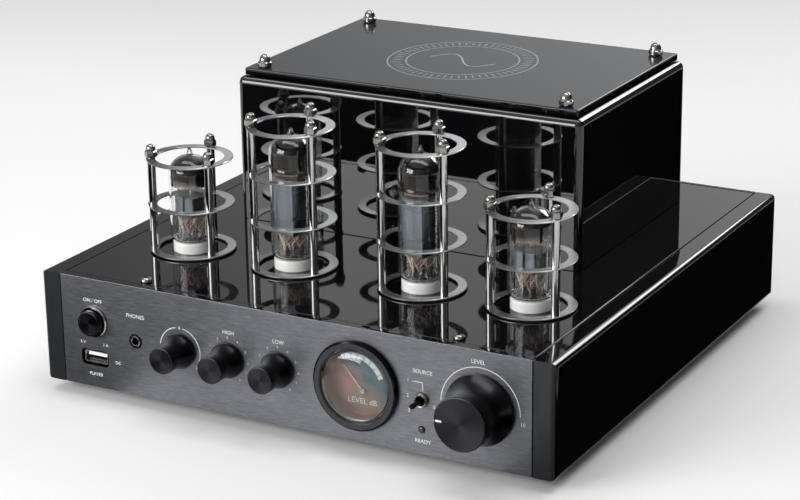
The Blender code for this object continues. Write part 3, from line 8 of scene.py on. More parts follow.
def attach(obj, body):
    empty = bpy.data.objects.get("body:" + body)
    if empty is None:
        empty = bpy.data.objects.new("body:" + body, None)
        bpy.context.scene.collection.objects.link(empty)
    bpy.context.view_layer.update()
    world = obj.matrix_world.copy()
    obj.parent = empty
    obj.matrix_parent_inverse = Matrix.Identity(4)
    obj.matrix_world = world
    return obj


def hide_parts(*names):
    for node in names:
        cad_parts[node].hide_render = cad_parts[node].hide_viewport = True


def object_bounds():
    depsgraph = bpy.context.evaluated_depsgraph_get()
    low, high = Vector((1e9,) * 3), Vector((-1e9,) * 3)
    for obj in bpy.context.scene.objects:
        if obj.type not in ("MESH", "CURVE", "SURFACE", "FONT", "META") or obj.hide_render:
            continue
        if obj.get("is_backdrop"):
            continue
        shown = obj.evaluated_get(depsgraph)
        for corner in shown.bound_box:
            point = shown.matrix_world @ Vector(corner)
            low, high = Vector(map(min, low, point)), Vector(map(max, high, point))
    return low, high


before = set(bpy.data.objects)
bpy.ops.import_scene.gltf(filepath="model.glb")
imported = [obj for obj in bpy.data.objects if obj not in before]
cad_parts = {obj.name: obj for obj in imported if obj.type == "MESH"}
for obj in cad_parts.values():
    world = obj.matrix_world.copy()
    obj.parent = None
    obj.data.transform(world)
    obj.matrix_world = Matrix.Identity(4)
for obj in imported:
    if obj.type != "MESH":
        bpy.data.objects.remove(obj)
cad_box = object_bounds()
bpy.ops.object.select_all(action="DESELECT")

# All sizes below are in mm. The amplifier stands on Z = 0 and its front looks towards -Y.
MM = 0.001
FRONT = -131.15
BACK = 133.85
BASE = 6.0
DECK = 60.6
CONTROLS = 33.3
INNER = 123.7
OUTER = 135.0
GAP = 0.3
TO_FRONT = (90, 0, 0)
TO_BACK = (-90, 0, 0)

VALVE_Y = -71.95
VALVES = ((1, -87.295, False), (2, -29.997, True), (3, 38.706, True), (4, 94.507, False))
ROD_CIRCLE = 18.5
ROD_ANGLES = (91, 211, 331)
RING_PITCH = 22.6
GUARD_FOOT = 60.9
GLASS_FOOT = 65.9
COVER_LOW = (-92.2, -20.75, 60.9)
COVER_HIGH = (94.8, 104.55, 134.1)
LID_MIDDLE = (1.3, 41.9)
POWER = (-105.405, 39.4)
JACK = (-82.0, CONTROLS)
USB = (-105.8, 20.9)
TONES = (("balance", -57.0), ("treble", -30.7), ("bass", -3.9))
METER = (37.2, CONTROLS)
TOGGLE = (70.1, 32.4)
LAMP = (69.9, 18.1)
VOLUME = (98.8, CONTROLS)
DECK_SCREWS = (("left", -80.1), ("right", 84.5))


# Modelling helpers.
def only(piece):
    """Selects one object alone and makes it the active one."""
    bpy.ops.object.select_all(action="DESELECT")
    piece.select_set(True)
    bpy.context.view_layer.objects.active = piece
    return piece


def start_edit(piece, kind="FACE"):
    only(piece)
    bpy.ops.object.mode_set(mode="EDIT")
    bpy.ops.mesh.select_mode(type=kind)
    return piece


def end_edit():
    bpy.ops.object.mode_set(mode="OBJECT")
    return bpy.context.object


def pick(kind, wanted):
    """In edit mode, selects the faces or edges whose place in mm and direction are wanted."""
    bpy.ops.mesh.select_all(action="DESELECT")
    shape = bmesh.from_edit_mesh(bpy.context.object.data)
    for item in getattr(shape, kind):
        if kind == "faces":
            place, way = item.calc_center_median(), item.normal
        else:
            ends = [corner.co for corner in item.verts]
            place, way = (ends[0] + ends[1]) / 2, (ends[1] - ends[0]).normalized()
        if wanted(place / MM, way):
            item.select_set(True)
    shape.select_flush_mode()
    bmesh.update_edit_mesh(bpy.context.object.data)


def place(piece, at=(0, 0, 0), tilt=(0, 0, 0)):
    """Moves and turns a piece, then puts its place in its mesh."""
    only(piece)
    piece.location = Vector(at) * MM
    piece.rotation_euler = [radians(angle) for angle in tilt]
    bpy.ops.object.transform_apply(location=True, rotation=True, scale=True)
    return piece


def copied(piece, at=(0, 0, 0), tilt=(0, 0, 0)):
    """A copy with its own mesh at another place."""
    twin = piece.copy()
    twin.data = piece.data.copy()
    bpy.context.scene.collection.objects.link(twin)
    return place(twin, at, tilt)


def joined(pieces):
    only(pieces[0])
    for piece in pieces:
        piece.select_set(True)
    if len(pieces) > 1:
        bpy.ops.object.join()
    return bpy.context.object


def block(low, high):
    """A box between two corners."""
    low, high = Vector(low), Vector(high)
    bpy.ops.mesh.primitive_cube_add(size=1, location=(low + high) / 2 * MM)
    piece = bpy.context.object
    piece.scale = (high - low) * MM
    bpy.ops.object.transform_apply(location=True, rotation=True, scale=True)
    return piece


def round_edges(piece, size, steps=3, wanted=lambda place, way: True):
    start_edit(piece, "EDGE")
    pick("edges", wanted)
    bpy.ops.mesh.bevel(offset=size * MM, segments=steps, affect="EDGES")
    return end_edit()


def turned(points, steps=64):
    """A piece turned round Z from (radius, height) points. It is a ring where the last point is the first again."""
    ring = points[0] == points[-1]
    radius, height = points[0]
    bpy.ops.mesh.primitive_circle_add(
        vertices=steps,
        radius=radius * MM,
        location=(0, 0, height * MM),
        fill_type="NOTHING" if ring else "NGON",
    )
    bpy.ops.object.transform_apply(location=True, rotation=True, scale=True)
    start_edit(bpy.context.object, "EDGE" if ring else "FACE")
    bpy.ops.mesh.select_all(action="SELECT")
    for next_radius, next_height in points[1:]:
        bpy.ops.mesh.extrude_region_move(
            TRANSFORM_OT_translate={"value": (0, 0, (next_height - height) * MM)}
        )
        if next_radius:
            share = next_radius / radius
            bpy.ops.transform.resize(value=(share, share, 1), center_override=(0, 0, 0))
        else:
            bpy.ops.mesh.merge(type="CENTER")
        radius, height = next_radius, next_height
    bpy.ops.mesh.select_all(action="SELECT")
    bpy.ops.mesh.remove_doubles(threshold=1e-6)
    bpy.ops.mesh.normals_make_consistent(inside=False)
    return end_edit()


def cut(piece, cutter, operation="DIFFERENCE"):
    only(piece)
    bpy.ops.object.modifier_add(type="BOOLEAN")
    cutting = piece.modifiers[-1]
    cutting.operation, cutting.solver, cutting.object = operation, "EXACT", cutter
    bpy.ops.object.modifier_apply(modifier=cutting.name)
    bpy.data.objects.remove(cutter)
    return piece


def wall(piece, thickness):
    """Gives an open or closed skin its sheet thickness, inwards."""
    only(piece)
    bpy.ops.object.modifier_add(type="SOLIDIFY")
    sheet = piece.modifiers[-1]
    sheet.thickness, sheet.offset, sheet.use_even_offset = thickness * MM, -1, True
    bpy.ops.object.modifier_apply(modifier=sheet.name)
    return piece


def bar(radius, length, at=(0, 0, 0), tilt=(0, 0, 0), edge=0.0, steps=32):
    """A round bar with a chamfer at both ends, from its foot along its own Z."""
    if edge:
        points = [(radius - edge, 0), (radius, edge), (radius, length - edge), (radius - edge, length)]
    else:
        points = [(radius, 0), (radius, length)]
    return place(turned(points, steps), at, tilt)


def polar(middle, reach, angle):
    """The point at a distance from a middle, at an angle in degrees from the first axis."""
    return middle[0] + reach * cos(radians(angle)), middle[1] + reach * sin(radians(angle))


def arc_points(middle, radius, start, end, steps):
    """Points on an arc between two angles in degrees."""
    return [polar(middle, radius, start + (end - start) * step / steps) for step in range(steps + 1)]


def dome_points(width, height, foot, angles):
    """Points of a dome's outline, for turned()."""
    return [(width * cos(radians(angle)), foot + height * sin(radians(angle))) for angle in angles]


def words(text, x, z, height, y=FRONT, tilt=TO_FRONT):
    """Printed lettering on the panel, centred on a place, with capitals of this height."""
    bpy.ops.object.text_add()
    letters = bpy.context.object
    letters.data.body = text
    letters.data.align_x, letters.data.align_y = "CENTER", "CENTER"
    letters.data.size = height / 0.7 * MM
    letters.data.extrude = 0.02 * MM
    letters.data.resolution_u = 3
    only(letters)
    bpy.ops.object.convert(target="MESH")
    return place(bpy.context.object, (x, y - 0.02, z), tilt)


def line(points, width, y=FRONT, thickness=0.04):
    """A printed line on the panel through (x, z) points."""
    pieces = []
    for (x0, z0), (x1, z1) in zip(points, points[1:]):
        run = Vector((x1 - x0, z1 - z0))
        stroke = block((-width / 2, -width / 2, 0), (run.length + width / 2, width / 2, thickness))
        angle = run.angle_signed(Vector((1, 0))) * 180 / pi
        place(stroke, tilt=(0, 0, angle))
        pieces.append(place(stroke, (x0, y, z0), TO_FRONT))
    return joined(pieces)


def strip(rows, y=FRONT):
    """A printed line on the panel as one strip between two rows of (x, z) points."""
    count = len(rows[0])
    corners = [(px * MM, (y - 0.03) * MM, pz * MM) for row in rows for px, pz in row]
    faces = [(i, i + 1, count + i + 1, count + i) for i in range(count - 1)]
    sheet = bpy.data.meshes.new("strip")
    sheet.from_pydata(corners, [], faces)
    piece = bpy.data.objects.new("strip", sheet)
    bpy.context.scene.collection.objects.link(piece)
    start_edit(piece)
    bpy.ops.mesh.select_all(action="SELECT")
    bpy.ops.mesh.remove_doubles(threshold=1e-6)
    bpy.ops.mesh.normals_make_consistent(inside=False)
    return end_edit()


def ring_arc(x, z, radius, width, start, end, y=FRONT, steps=48):
    """A printed arc on the panel."""
    rims = radius - width / 2, radius + width / 2
    return strip([arc_points((x, z), rim, start, end, steps) for rim in rims], y)


# Finishes.
def colour(code):
    """A linear colour from the code in which a paint program writes it."""
    parts = [int(code[i : i + 2], 16) / 255 for i in (0, 2, 4)]
    return tuple(p / 12.92 if p <= 0.04045 else ((p + 0.055) / 1.055) ** 2.4 for p in parts) + (1.0,)


class Value:
    """A socket of a material's nodes, for use in expressions."""

    def __init__(self, tree, socket):
        self.tree, self.socket = tree, socket

    def node(self, kind, settings=None, inputs=None, output=0):
        """Adds a node: first its settings, then the values or links of its sockets."""
        node = self.tree.nodes.new("ShaderNode" + kind)
        for name, setting in (settings or {}).items():
            setattr(node, name, setting)
        for name, value in (inputs or {}).items():
            if isinstance(value, Value):
                self.tree.links.new(value.socket, node.inputs[name])
            else:
                node.inputs[name].default_value = value
        return Value(self.tree, node.outputs[output])

    def maths(self, operation, *others):
        """This value first, then the others."""
        return self.node("Math", {"operation": operation}, dict(enumerate((self, *others))))

    def __add__(self, other):
        return self.maths("ADD", other)

    __radd__ = __add__

    def __sub__(self, other):
        return self.maths("SUBTRACT", other)

    def __rsub__(self, other):
        return self.node("Math", {"operation": "SUBTRACT"}, {0: other, 1: self})

    def __mul__(self, other):
        return self.maths("MULTIPLY", other)

    __rmul__ = __mul__

    def __gt__(self, other):
        return self.maths("GREATER_THAN", other)

    def __lt__(self, other):
        return self.maths("LESS_THAN", other)

    def spread(self, low, high, start=0.3, end=0.7):
        """Runs from low to high as this value runs from start to end."""
        return self.node("MapRange", {}, {0: self, 1: start, 2: end, 3: low, 4: high})

    def blend(self, first, second):
        """A colour between two, with this value as the share of the second."""
        return self.node("Mix", {"data_type": "RGBA"}, {0: self, 6: first, 7: second}, 2)


class Finish:
    """A material whose pattern is placed by the piece's own coordinates."""

    def __init__(self, name, **fixed):
        self.material = bpy.data.materials.new(name)
        self.material.use_nodes = True
        self.tree = self.material.node_tree
        self.shader = self.tree.nodes["Principled BSDF"]
        for socket, value in fixed.items():
            self.shader.inputs[socket.replace("_", " ")].default_value = value
        self.here = Value(self.tree, self.tree.nodes.new("ShaderNodeTexCoord").outputs["Object"])

    def moved(self, at=(0, 0, 0), scale=(1, 1, 1)):
        """Coordinates in mm from a middle, drawn out or squeezed by scale."""
        size = [share / MM for share in scale]
        offset = [-share * place for share, place in zip(scale, at)]
        return self.here.node("Mapping", {}, {0: self.here, 1: offset, 3: size})

    def axes(self, at=(0, 0, 0)):
        """The three coordinates in mm from a middle, as values."""
        here = self.moved(at)
        split = here.node("SeparateXYZ", {}, {0: here})
        return [Value(self.tree, socket) for socket in split.socket.node.outputs]

    def facing(self, axis):
        """How far the surface faces along an axis, from -1 to 1."""
        normal = self.here.node("NewGeometry", output="Normal")
        return normal.node("SeparateXYZ", {}, {0: normal}, axis)

    def noise(self, size, scale=(1, 1, 1), detail=3, rough=0.5, at=(0, 0, 0)):
        """Noise whose blotches measure about size mm."""
        where = self.moved(at, scale)
        return where.node("TexNoise", {}, {0: where, "Scale": 1 / size, "Detail": detail, "Roughness": rough})

    def feed(self, **values):
        """Links values that vary over the surface to the shader."""
        for socket, value in values.items():
            self.tree.links.new(value.socket, self.shader.inputs[socket.replace("_", " ")])

    def bump(self, height, distance, strength=1.0):
        """Relief in mm."""
        relief = height.node("Bump", {}, {"Height": height, "Distance": distance * MM, "Strength": strength})
        self.feed(Normal=relief)


def lacquer(name, tone, low, high, index=1.5):
    """Polished lacquer with faint orange peel and wiped-off smears."""
    finish = Finish(name, IOR=index)
    smear = finish.noise(60, scale=(1, 1, 0.4), detail=4)
    finish.feed(
        Base_Color=smear.spread(0, 1).blend(colour(tone), colour("0d0d0f")),
        Roughness=smear.spread(low, high),
    )
    finish.bump(finish.noise(3.5, detail=1), 0.003)
    return finish


def metal(name, dark, light, low, high, size=2.0, scale=(1, 1, 1), relief=0.002, **fixed):
    """Metal with a fine grain, drawn out by scale."""
    finish = Finish(name, **{"Metallic": 1.0, **fixed})
    grain = finish.noise(size, scale=scale, detail=4)
    finish.feed(
        Base_Color=grain.spread(0, 1).blend(colour(dark), colour(light)),
        Roughness=grain.spread(low, high),
    )
    finish.bump(grain, relief)
    return finish


def dull(name, dark, light, low, high, size=1.0, relief=0.01, **fixed):
    """Moulded plastic, rubber or ceramic with a fine uneven skin."""
    finish = Finish(name, **fixed)
    grain = finish.noise(size, detail=4)
    finish.feed(
        Base_Color=grain.spread(0, 1).blend(colour(dark), colour(light)),
        Roughness=grain.spread(low, high),
    )
    finish.bump(grain, relief)
    return finish


piano_black = lacquer("piano_black", "08080a", 0.02, 0.045)
cover_black = lacquer("cover_black", "060607", 0.015, 0.035, index=1.65)


def make_cheek_finish():
    """Piano lacquer with a satin grey front edge."""
    finish = Finish("cheek_lacquer", IOR=1.5)
    smear = finish.noise(60, scale=(1, 1, 0.4), detail=4)
    fine = finish.noise(0.7, scale=(1, 1, 0.03), detail=3)
    edge = finish.facing("Y") < -0.7
    satin = fine.spread(0, 1).blend(colour("333437"), colour("393a3d"))
    finish.feed(
        Base_Color=edge.blend(colour("08080a"), satin),
        Roughness=edge * 0.3 + smear.spread(0.03, 0.07),
        Metallic=edge * 0.6,
    )
    finish.bump(finish.noise(3.5, detail=1), 0.004)
    return finish


def make_panel_finish():
    """Dark anodised aluminium, brushed from side to side on its face; its edges are glossy black."""
    finish = Finish("brushed_anodised")
    fine = finish.noise(0.32, scale=(0.055, 1, 1), detail=4, rough=0.7)
    broad = finish.noise(1.6, scale=(0.08, 1, 1), detail=2)
    patches = finish.noise(60, detail=2)
    streaks = fine * 0.88 + broad * 0.12
    face = finish.facing("Y") < -0.9
    top = finish.facing("Z") > 0.9
    tone = (streaks * 0.85 + patches * 0.15).spread(0, 1, 0.36, 0.64)
    finish.feed(
        Base_Color=face.blend(colour("08080a"), tone.blend(colour("6b6c71"), colour("8d8f95"))),
        Roughness=face * streaks.spread(0.36, 0.5) + (1 - face) * (0.4 - top * 0.36),
        Metallic=face,
    )
    finish.bump(streaks * face, 0.006)
    return finish


def make_spun_finish(name, x, z, dark, light, low, high):
    """Metal turned on a lathe round an axis along Y: fine rings with a few broader ones, and a painted bow-tie
    highlight of two lighter wedges on the face.
    """
    finish = Finish(name, Metallic=1.0)
    across, deep, up = finish.axes((x, 0, z))
    reach = (across * across + up * up).maths("SQRT")
    rings = (reach * 8.0).maths("SINE") * 0.5 + 0.5
    angle = up.maths("ARCTAN2", across)
    # Painted highlight: two lighter wedges across the face, in a bow-tie pattern.
    painted_bowtie_highlight = (angle * 2.0 + 1.8).maths("COSINE") * 0.32 + finish.noise(4) * 0.2 + 0.4
    face = finish.facing("Y") < -0.9
    # The face colour mixes the real turned rings with the painted bow-tie highlight.
    rings_and_painted_highlight = painted_bowtie_highlight * 0.75 + rings * 0.25
    finish.feed(
        Base_Color=face.blend(colour("2e2e31"), rings_and_painted_highlight.blend(colour(dark), colour(light))),
        Roughness=face * (painted_bowtie_highlight.spread(low, high) - 0.24) + 0.24,
    )
    finish.bump(rings * face + finish.noise(1.2) * 0.3, 0.003)
    return finish


def make_lid_finish():
    """Slate grey enamel on top, glossy black sides."""
    finish = Finish("lid_grey", IOR=1.4)
    cloud = finish.noise(45, detail=2)
    speck = finish.noise(0.8, detail=2)
    top = finish.facing("Z") > 0.85
    slate = (cloud * 0.5 + speck * 0.5).spread(0, 1).blend(colour("1d2228"), colour("242930"))
    finish.feed(
        Base_Color=top.blend(colour("0a0a0c"), slate),
        Roughness=top * cloud.spread(0.08, 0.11) + 0.04,
    )
    finish.bump(speck, 0.0006)
    return finish


panel_finish = make_panel_finish()
cheek_finish = make_cheek_finish()
lid_finish = make_lid_finish()
knob_finish = metal("knob_black", "18181a", "26262a", 0.34, 0.46, size=0.8, relief=0.003)
chrome = metal("polished_steel", "b4b4b3", "cbcbca", 0.06, 0.12, size=6)
dark_nickel = metal("dark_nickel", "85817d", "a6a29e", 0.07, 0.15, size=3)
tin = metal("tin_plate", "c4c3c0", "dddbd7", 0.3, 0.4, size=1.5)
nickel = metal("nickel", "9d9b94", "bfbcb4", 0.2, 0.34, size=1.5)
copper = dull("copper_leads", "7d4a55", "c3949e", 0.3, 0.45, size=0.8, Metallic=0.35)
pale_leads = dull("tinned_leads", "d3c8b4", "f4eee0", 0.3, 0.45, size=0.8, Metallic=0.2)
zinc = metal("zinc_sheet", "8c8c8e", "b0b0b2", 0.35, 0.5, size=5)
iron = metal("laminated_iron", "2b2b2e", "4a4a4e", 0.45, 0.6, size=0.6, scale=(0.1, 1, 1), relief=0.02)
gold = metal("gold_plate", "c09a4a", "d8b768", 0.18, 0.3, size=2)
ceramic = dull("glazed_ceramic", "f4f3f0", "fbfbf9", 0.18, 0.3, size=4, relief=0.004, Coat_Weight=0.4)
rubber = dull("soft_rubber", "141414", "1e1e1e", 0.65, 0.8, size=0.8)
plastic = dull("moulded_black", "121213", "1c1c1e", 0.38, 0.52, size=0.7)
satin_sheet = dull("satin_black_sheet", "161618", "202023", 0.36, 0.5, size=0.9, relief=0.006)
board_finish = dull("circuit_board", "0e4526", "17613a", 0.35, 0.5, size=3)
ink = dull("printed_ink", "d6d8da", "eceef0", 0.45, 0.6, size=0.5, relief=0.001)
mica = dull("mica_sheet", "9c9484", "c4bcaa", 0.3, 0.45, size=1.5, Alpha=0.35)


def make_glass(name, **fixed):
    """Clear glass with faint waves from drawing."""
    finish = Finish(name, Transmission_Weight=1.0, IOR=1.36, **fixed)
    wave = finish.noise(9, scale=(1, 1, 0.5), detail=1)
    finish.feed(
        Base_Color=wave.spread(0, 1).blend(colour("f6f8f8"), colour("ffffff")),
        Roughness=wave.spread(0.0, 0.015),
    )
    finish.bump(wave, 0.01)
    return finish


glass = make_glass("valve_glass")
lens_glass = make_glass("lens_glass")


def make_ring_finish(number, x):
    """Turned satin steel with a painted highlight: lighter towards the back right and darker towards the front left.
    """
    finish = Finish(f"ring_steel_painted_highlight_{number}", Metallic=0.7)
    across, deep, up = finish.axes((x, VALVE_Y, 0))
    grain = finish.noise(9, detail=4)
    # Painted highlight: the colour turns lighter towards the ring's back right and darker at its front left.
    painted_sheen = (across * 0.85 + deep * 0.5 + grain * 4).spread(0, 1, -11, 10)
    finish.feed(
        Base_Color=painted_sheen.blend(colour("727476"), colour("d6d8da")),
        Roughness=grain.spread(0.2, 0.26),
    )
    return finish


def make_anode_finish():
    """Grey sheet metal with painted shade: its right-facing side is coloured darker."""
    finish = Finish("anode_grey", Metallic=0.55)
    grain = finish.noise(4, scale=(1, 1, 0.15), detail=4)
    right = finish.facing("X").spread(0, 1, 0.2, 0.6)
    light = grain.spread(0, 1).blend(colour("70777e"), colour("8e949b"))
    # Painted shade: the side facing right gets this darker tone, the other sides the lighter one.
    painted_shade_tone = grain.spread(0, 1).blend(colour("1e2328"), colour("2b3036"))
    finish.feed(Base_Color=right.blend(light, painted_shade_tone), Roughness=grain.spread(0.3, 0.38))
    return finish


anode_grey = make_anode_finish()


def make_getter(name, film_foot):
    """The mirror film in the top of a valve: dark above, silvery below, then thinning out to clear glass."""
    finish = Finish(name, Metallic=1.0)
    height = finish.axes((0, 0, film_foot))[2] + finish.noise(4, detail=3) * 3
    film = height.spread(0, 1, 1.0, 2.6)
    dark = height.spread(0, 1, 2.4, 5.0)
    finish.feed(
        Base_Color=dark.blend(colour("7c7168"), colour("1b1512")),
        Roughness=dark.spread(0.1, 0.03, 0, 1),
        Alpha=film,
    )
    return finish


def fit(piece, name, finish, slot, nodes=(), body="amplifier", angle=32):
    """Names a finished piece, gives it its finish and puts it on its body."""
    piece.name = piece.data.name = name
    piece.data.materials.clear()
    piece.data.materials.append(finish.material)
    only(piece)
    bpy.ops.object.shade_smooth_by_angle(angle=radians(angle))
    bpy.ops.object.modifier_add(type="WEIGHTED_NORMAL")
    piece.modifiers[-1].keep_sharp = True
    bpy.ops.object.modifier_apply(modifier=piece.modifiers[-1].name)
    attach(piece, body)
    if nodes:
        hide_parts(*nodes)
    return piece


def deal(form, finish, slot, places):
    """Puts a copy of a form at each place, under the name of the node that it replaces. The form itself goes."""
    for name, at in places.items():
        fit(copied(form, at), name, finish, slot, [name])
    bpy.data.objects.remove(form)


# Body: cheeks, front panel, deck.
for name, side in (("left_cheek", -1), ("right_cheek", 1)):
    inner, outer = side * 124.0, side * OUTER
    cheek = block((min(inner, outer), FRONT, BASE), (max(inner, outer), BACK, DECK))
    round_edges(cheek, 3.0, 6, lambda at, way, side=side: at.x * side > OUTER - 1)
    round_edges(cheek, 0.4, 2, lambda at, way, side=side: at.x * side < 124.5)
    fit(cheek, name, cheek_finish, "gloss_black", [name])

panel = block((-INNER, FRONT, BASE), (INNER, FRONT + 4, DECK))
round_edges(panel, 0.25, 2, lambda at, way: at.y < FRONT + 1)
for x, z, radius in (
    (*POWER, 6.8),
    (*JACK, 3.6),
    (TONES[0][1], CONTROLS, 4.0),
    (TONES[1][1], CONTROLS, 4.0),
    (TONES[2][1], CONTROLS, 4.0),
    (*VOLUME, 4.0),
    (*METER, 19.3),
    (*TOGGLE, 3.5),
    (*LAMP, 1.8),
):
    cut(panel, bar(radius, 8, (x, FRONT + 6, z), TO_FRONT, steps=64))
window = block((USB[0] - 7.8, FRONT - 2, USB[1] - 4), (USB[0] + 7.8, FRONT + 6, USB[1] + 4))
round_edges(window, 2.2, 6, lambda at, way: abs(way.y) > 0.9)
cut(panel, window)
fit(panel, "front_panel", panel_finish, "brushed_grey", ["front_panel"])

deck = block((-INNER, FRONT + 4.3, 58.6), (INNER, 131.55, DECK))
round_edges(deck, 0.8, 4, lambda at, way: at.z > 60)
for number, x, tall in VALVES:
    cut(deck, bar(9.9, 6, (x, VALVE_Y, 56), steps=64))
    for angle in ROD_ANGLES:
        cut(deck, bar(1.8, 6, (*polar((x, VALVE_Y), ROD_CIRCLE, angle), 56), steps=20))
for name, x in DECK_SCREWS:
    cut(deck, bar(1.8, 6, (x, -122.75, 56), steps=20))
fit(deck, "top_deck", piano_black, "gloss_black", ["top_deck"])

# Transformer cover with its lid.
cover = block(COVER_LOW, COVER_HIGH)
round_edges(cover, 3.5, 6, lambda at, way: at.z > 61)
start_edit(cover)
pick("faces", lambda at, way: way.z < -0.9)
bpy.ops.mesh.delete(type="FACE")
end_edit()
wall(cover, 2.0)
LID_SCREWS = [
    (f"{end}_{side}", LID_MIDDLE[0] + sign * 82.0, y)
    for end, y in (("front", -12.25), ("rear", 93.05))
    for side, sign in (("left", -1), ("right", 1))
]
for name, x, y in LID_SCREWS:
    cut(cover, bar(1.8, 8, (x, y, 129), steps=20))
fit(cover, "transformer_cover", cover_black, "gloss_black", ["transformer_cover"])

lid = block((-89.2, -17.75, 134.7), (91.8, 101.55, 138.1))
round_edges(lid, 0.8, 4, lambda at, way: at.z > 135)
round_edges(lid, 0.3, 1, lambda at, way: at.z < 135)
for name, x, y in LID_SCREWS:
    cut(lid, bar(1.8, 8, (x, y, 132), steps=20))
fit(lid, "cover_lid", lid_finish, "lid_grey", ["cover_lid"])

# Screws.
dome = dome_points(2.9, 3.6, 2.6, range(0, 81, 10))
screw_points = [(1.5, -9.0), (1.5, 0), (3.1, 0), (3.5, 0.4), (3.5, 2.2), (3.1, 2.6)] + dome + [(0, 6.2)]
lid_screw = turned(screw_points, 40)
deal(lid_screw, dark_nickel, "chrome", {f"lid_screw_{name}": (x, y, 138.4) for name, x, y in LID_SCREWS})
head = dome_points(2.8, 1.7, 0.5, range(0, 81, 16))
deck_screw = turned([(1.5, -6.0), (1.5, 0), (2.8, 0)] + head + [(0.9, 2.2)], 40)
cut(deck_screw, bar(1.0, 4, (0, 0, 1.1), steps=6))
deal(deck_screw, dark_nickel, "chrome", {f"deck_screw_{name}": (x, -122.75, 60.9) for name, x in DECK_SCREWS})


# Valve guards and valves: each kind is modelled once at the middle and copied to its places.
def rod_between(start, end, radius, steps=8):
    """A round rod from one point to another."""
    run = end - start
    turn = run.to_track_quat("Z", "Y").to_euler()
    return place(bar(radius, run.length, steps=steps), start, [angle * 180 / pi for angle in turn])


def make_guard(tall):
    """Flat rings on three rods with cap nuts."""
    count = 4 if tall else 3
    rings = []
    for level in range(count):
        foot = level * RING_PITCH + 0.25
        rings.append(
            turned(
                [(16.5, foot + 0.15), (16.65, foot), (20.75, foot), (20.9, foot + 0.15), (20.9, foot + 0.55),
                 (20.75, foot + 0.7), (16.65, foot + 0.7), (16.5, foot + 0.55), (16.5, foot + 0.15)],
                96,
            )
        )
    top = (count - 1) * RING_PITCH + 1.2
    rod = turned([(1.5, -5.3), (1.5, 0.3), (2.0, 0.4), (2.0, top + 0.1)], 24)
    nut = turned([(2.6, top), (3.0, top + 0.4), (3.0, top + 2.8), (2.6, top + 3.2)], 6)
    cap = turned(
        [(2.0, top + 3.0)]
        + dome_points(2.4, 2.4, top + 4.0, range(-20, 81, 20))
        + [(0, top + 6.4)],
        24,
    )
    cap = joined([nut, cap])
    rods, caps = [], []
    for angle in ROD_ANGLES:
        at = (*polar((0, 0), ROD_CIRCLE, angle), 0)
        rods.append(copied(rod, at))
        caps.append(copied(cap, at))
    bpy.data.objects.remove(rod)
    bpy.data.objects.remove(cap)
    yield "guard_rings", None, "satin_steel", joined(rings)
    yield "guard_rods", chrome, "chrome", joined(rods)
    yield "guard_caps", dark_nickel, "chrome", joined(caps)


def make_leads(wires, low_mica):
    """Thin wires from the nine pins up to the lower mica, in three patterns that take turns."""
    bundles = []
    for pattern in range(3):
        strands = []
        for turn, reach in wires:
            foot = Vector((5.95, 0, 1.8))
            elbow = Vector((5.4, 0, 3.4 + (pattern * 7 + turn) % 4))
            away = radians(turn + pattern * 17)
            top = Vector((reach * cos(away), reach * sin(away), low_mica))
            strands += [rod_between(foot, elbow, 0.23, 6), rod_between(elbow, top, 0.23, 6)]
        bundle = joined(strands)
        bundles += [copied(bundle, tilt=(0, 0, 36 * (index + 1))) for index in range(pattern, 9, 3)]
        bpy.data.objects.remove(bundle)
    return joined(bundles)


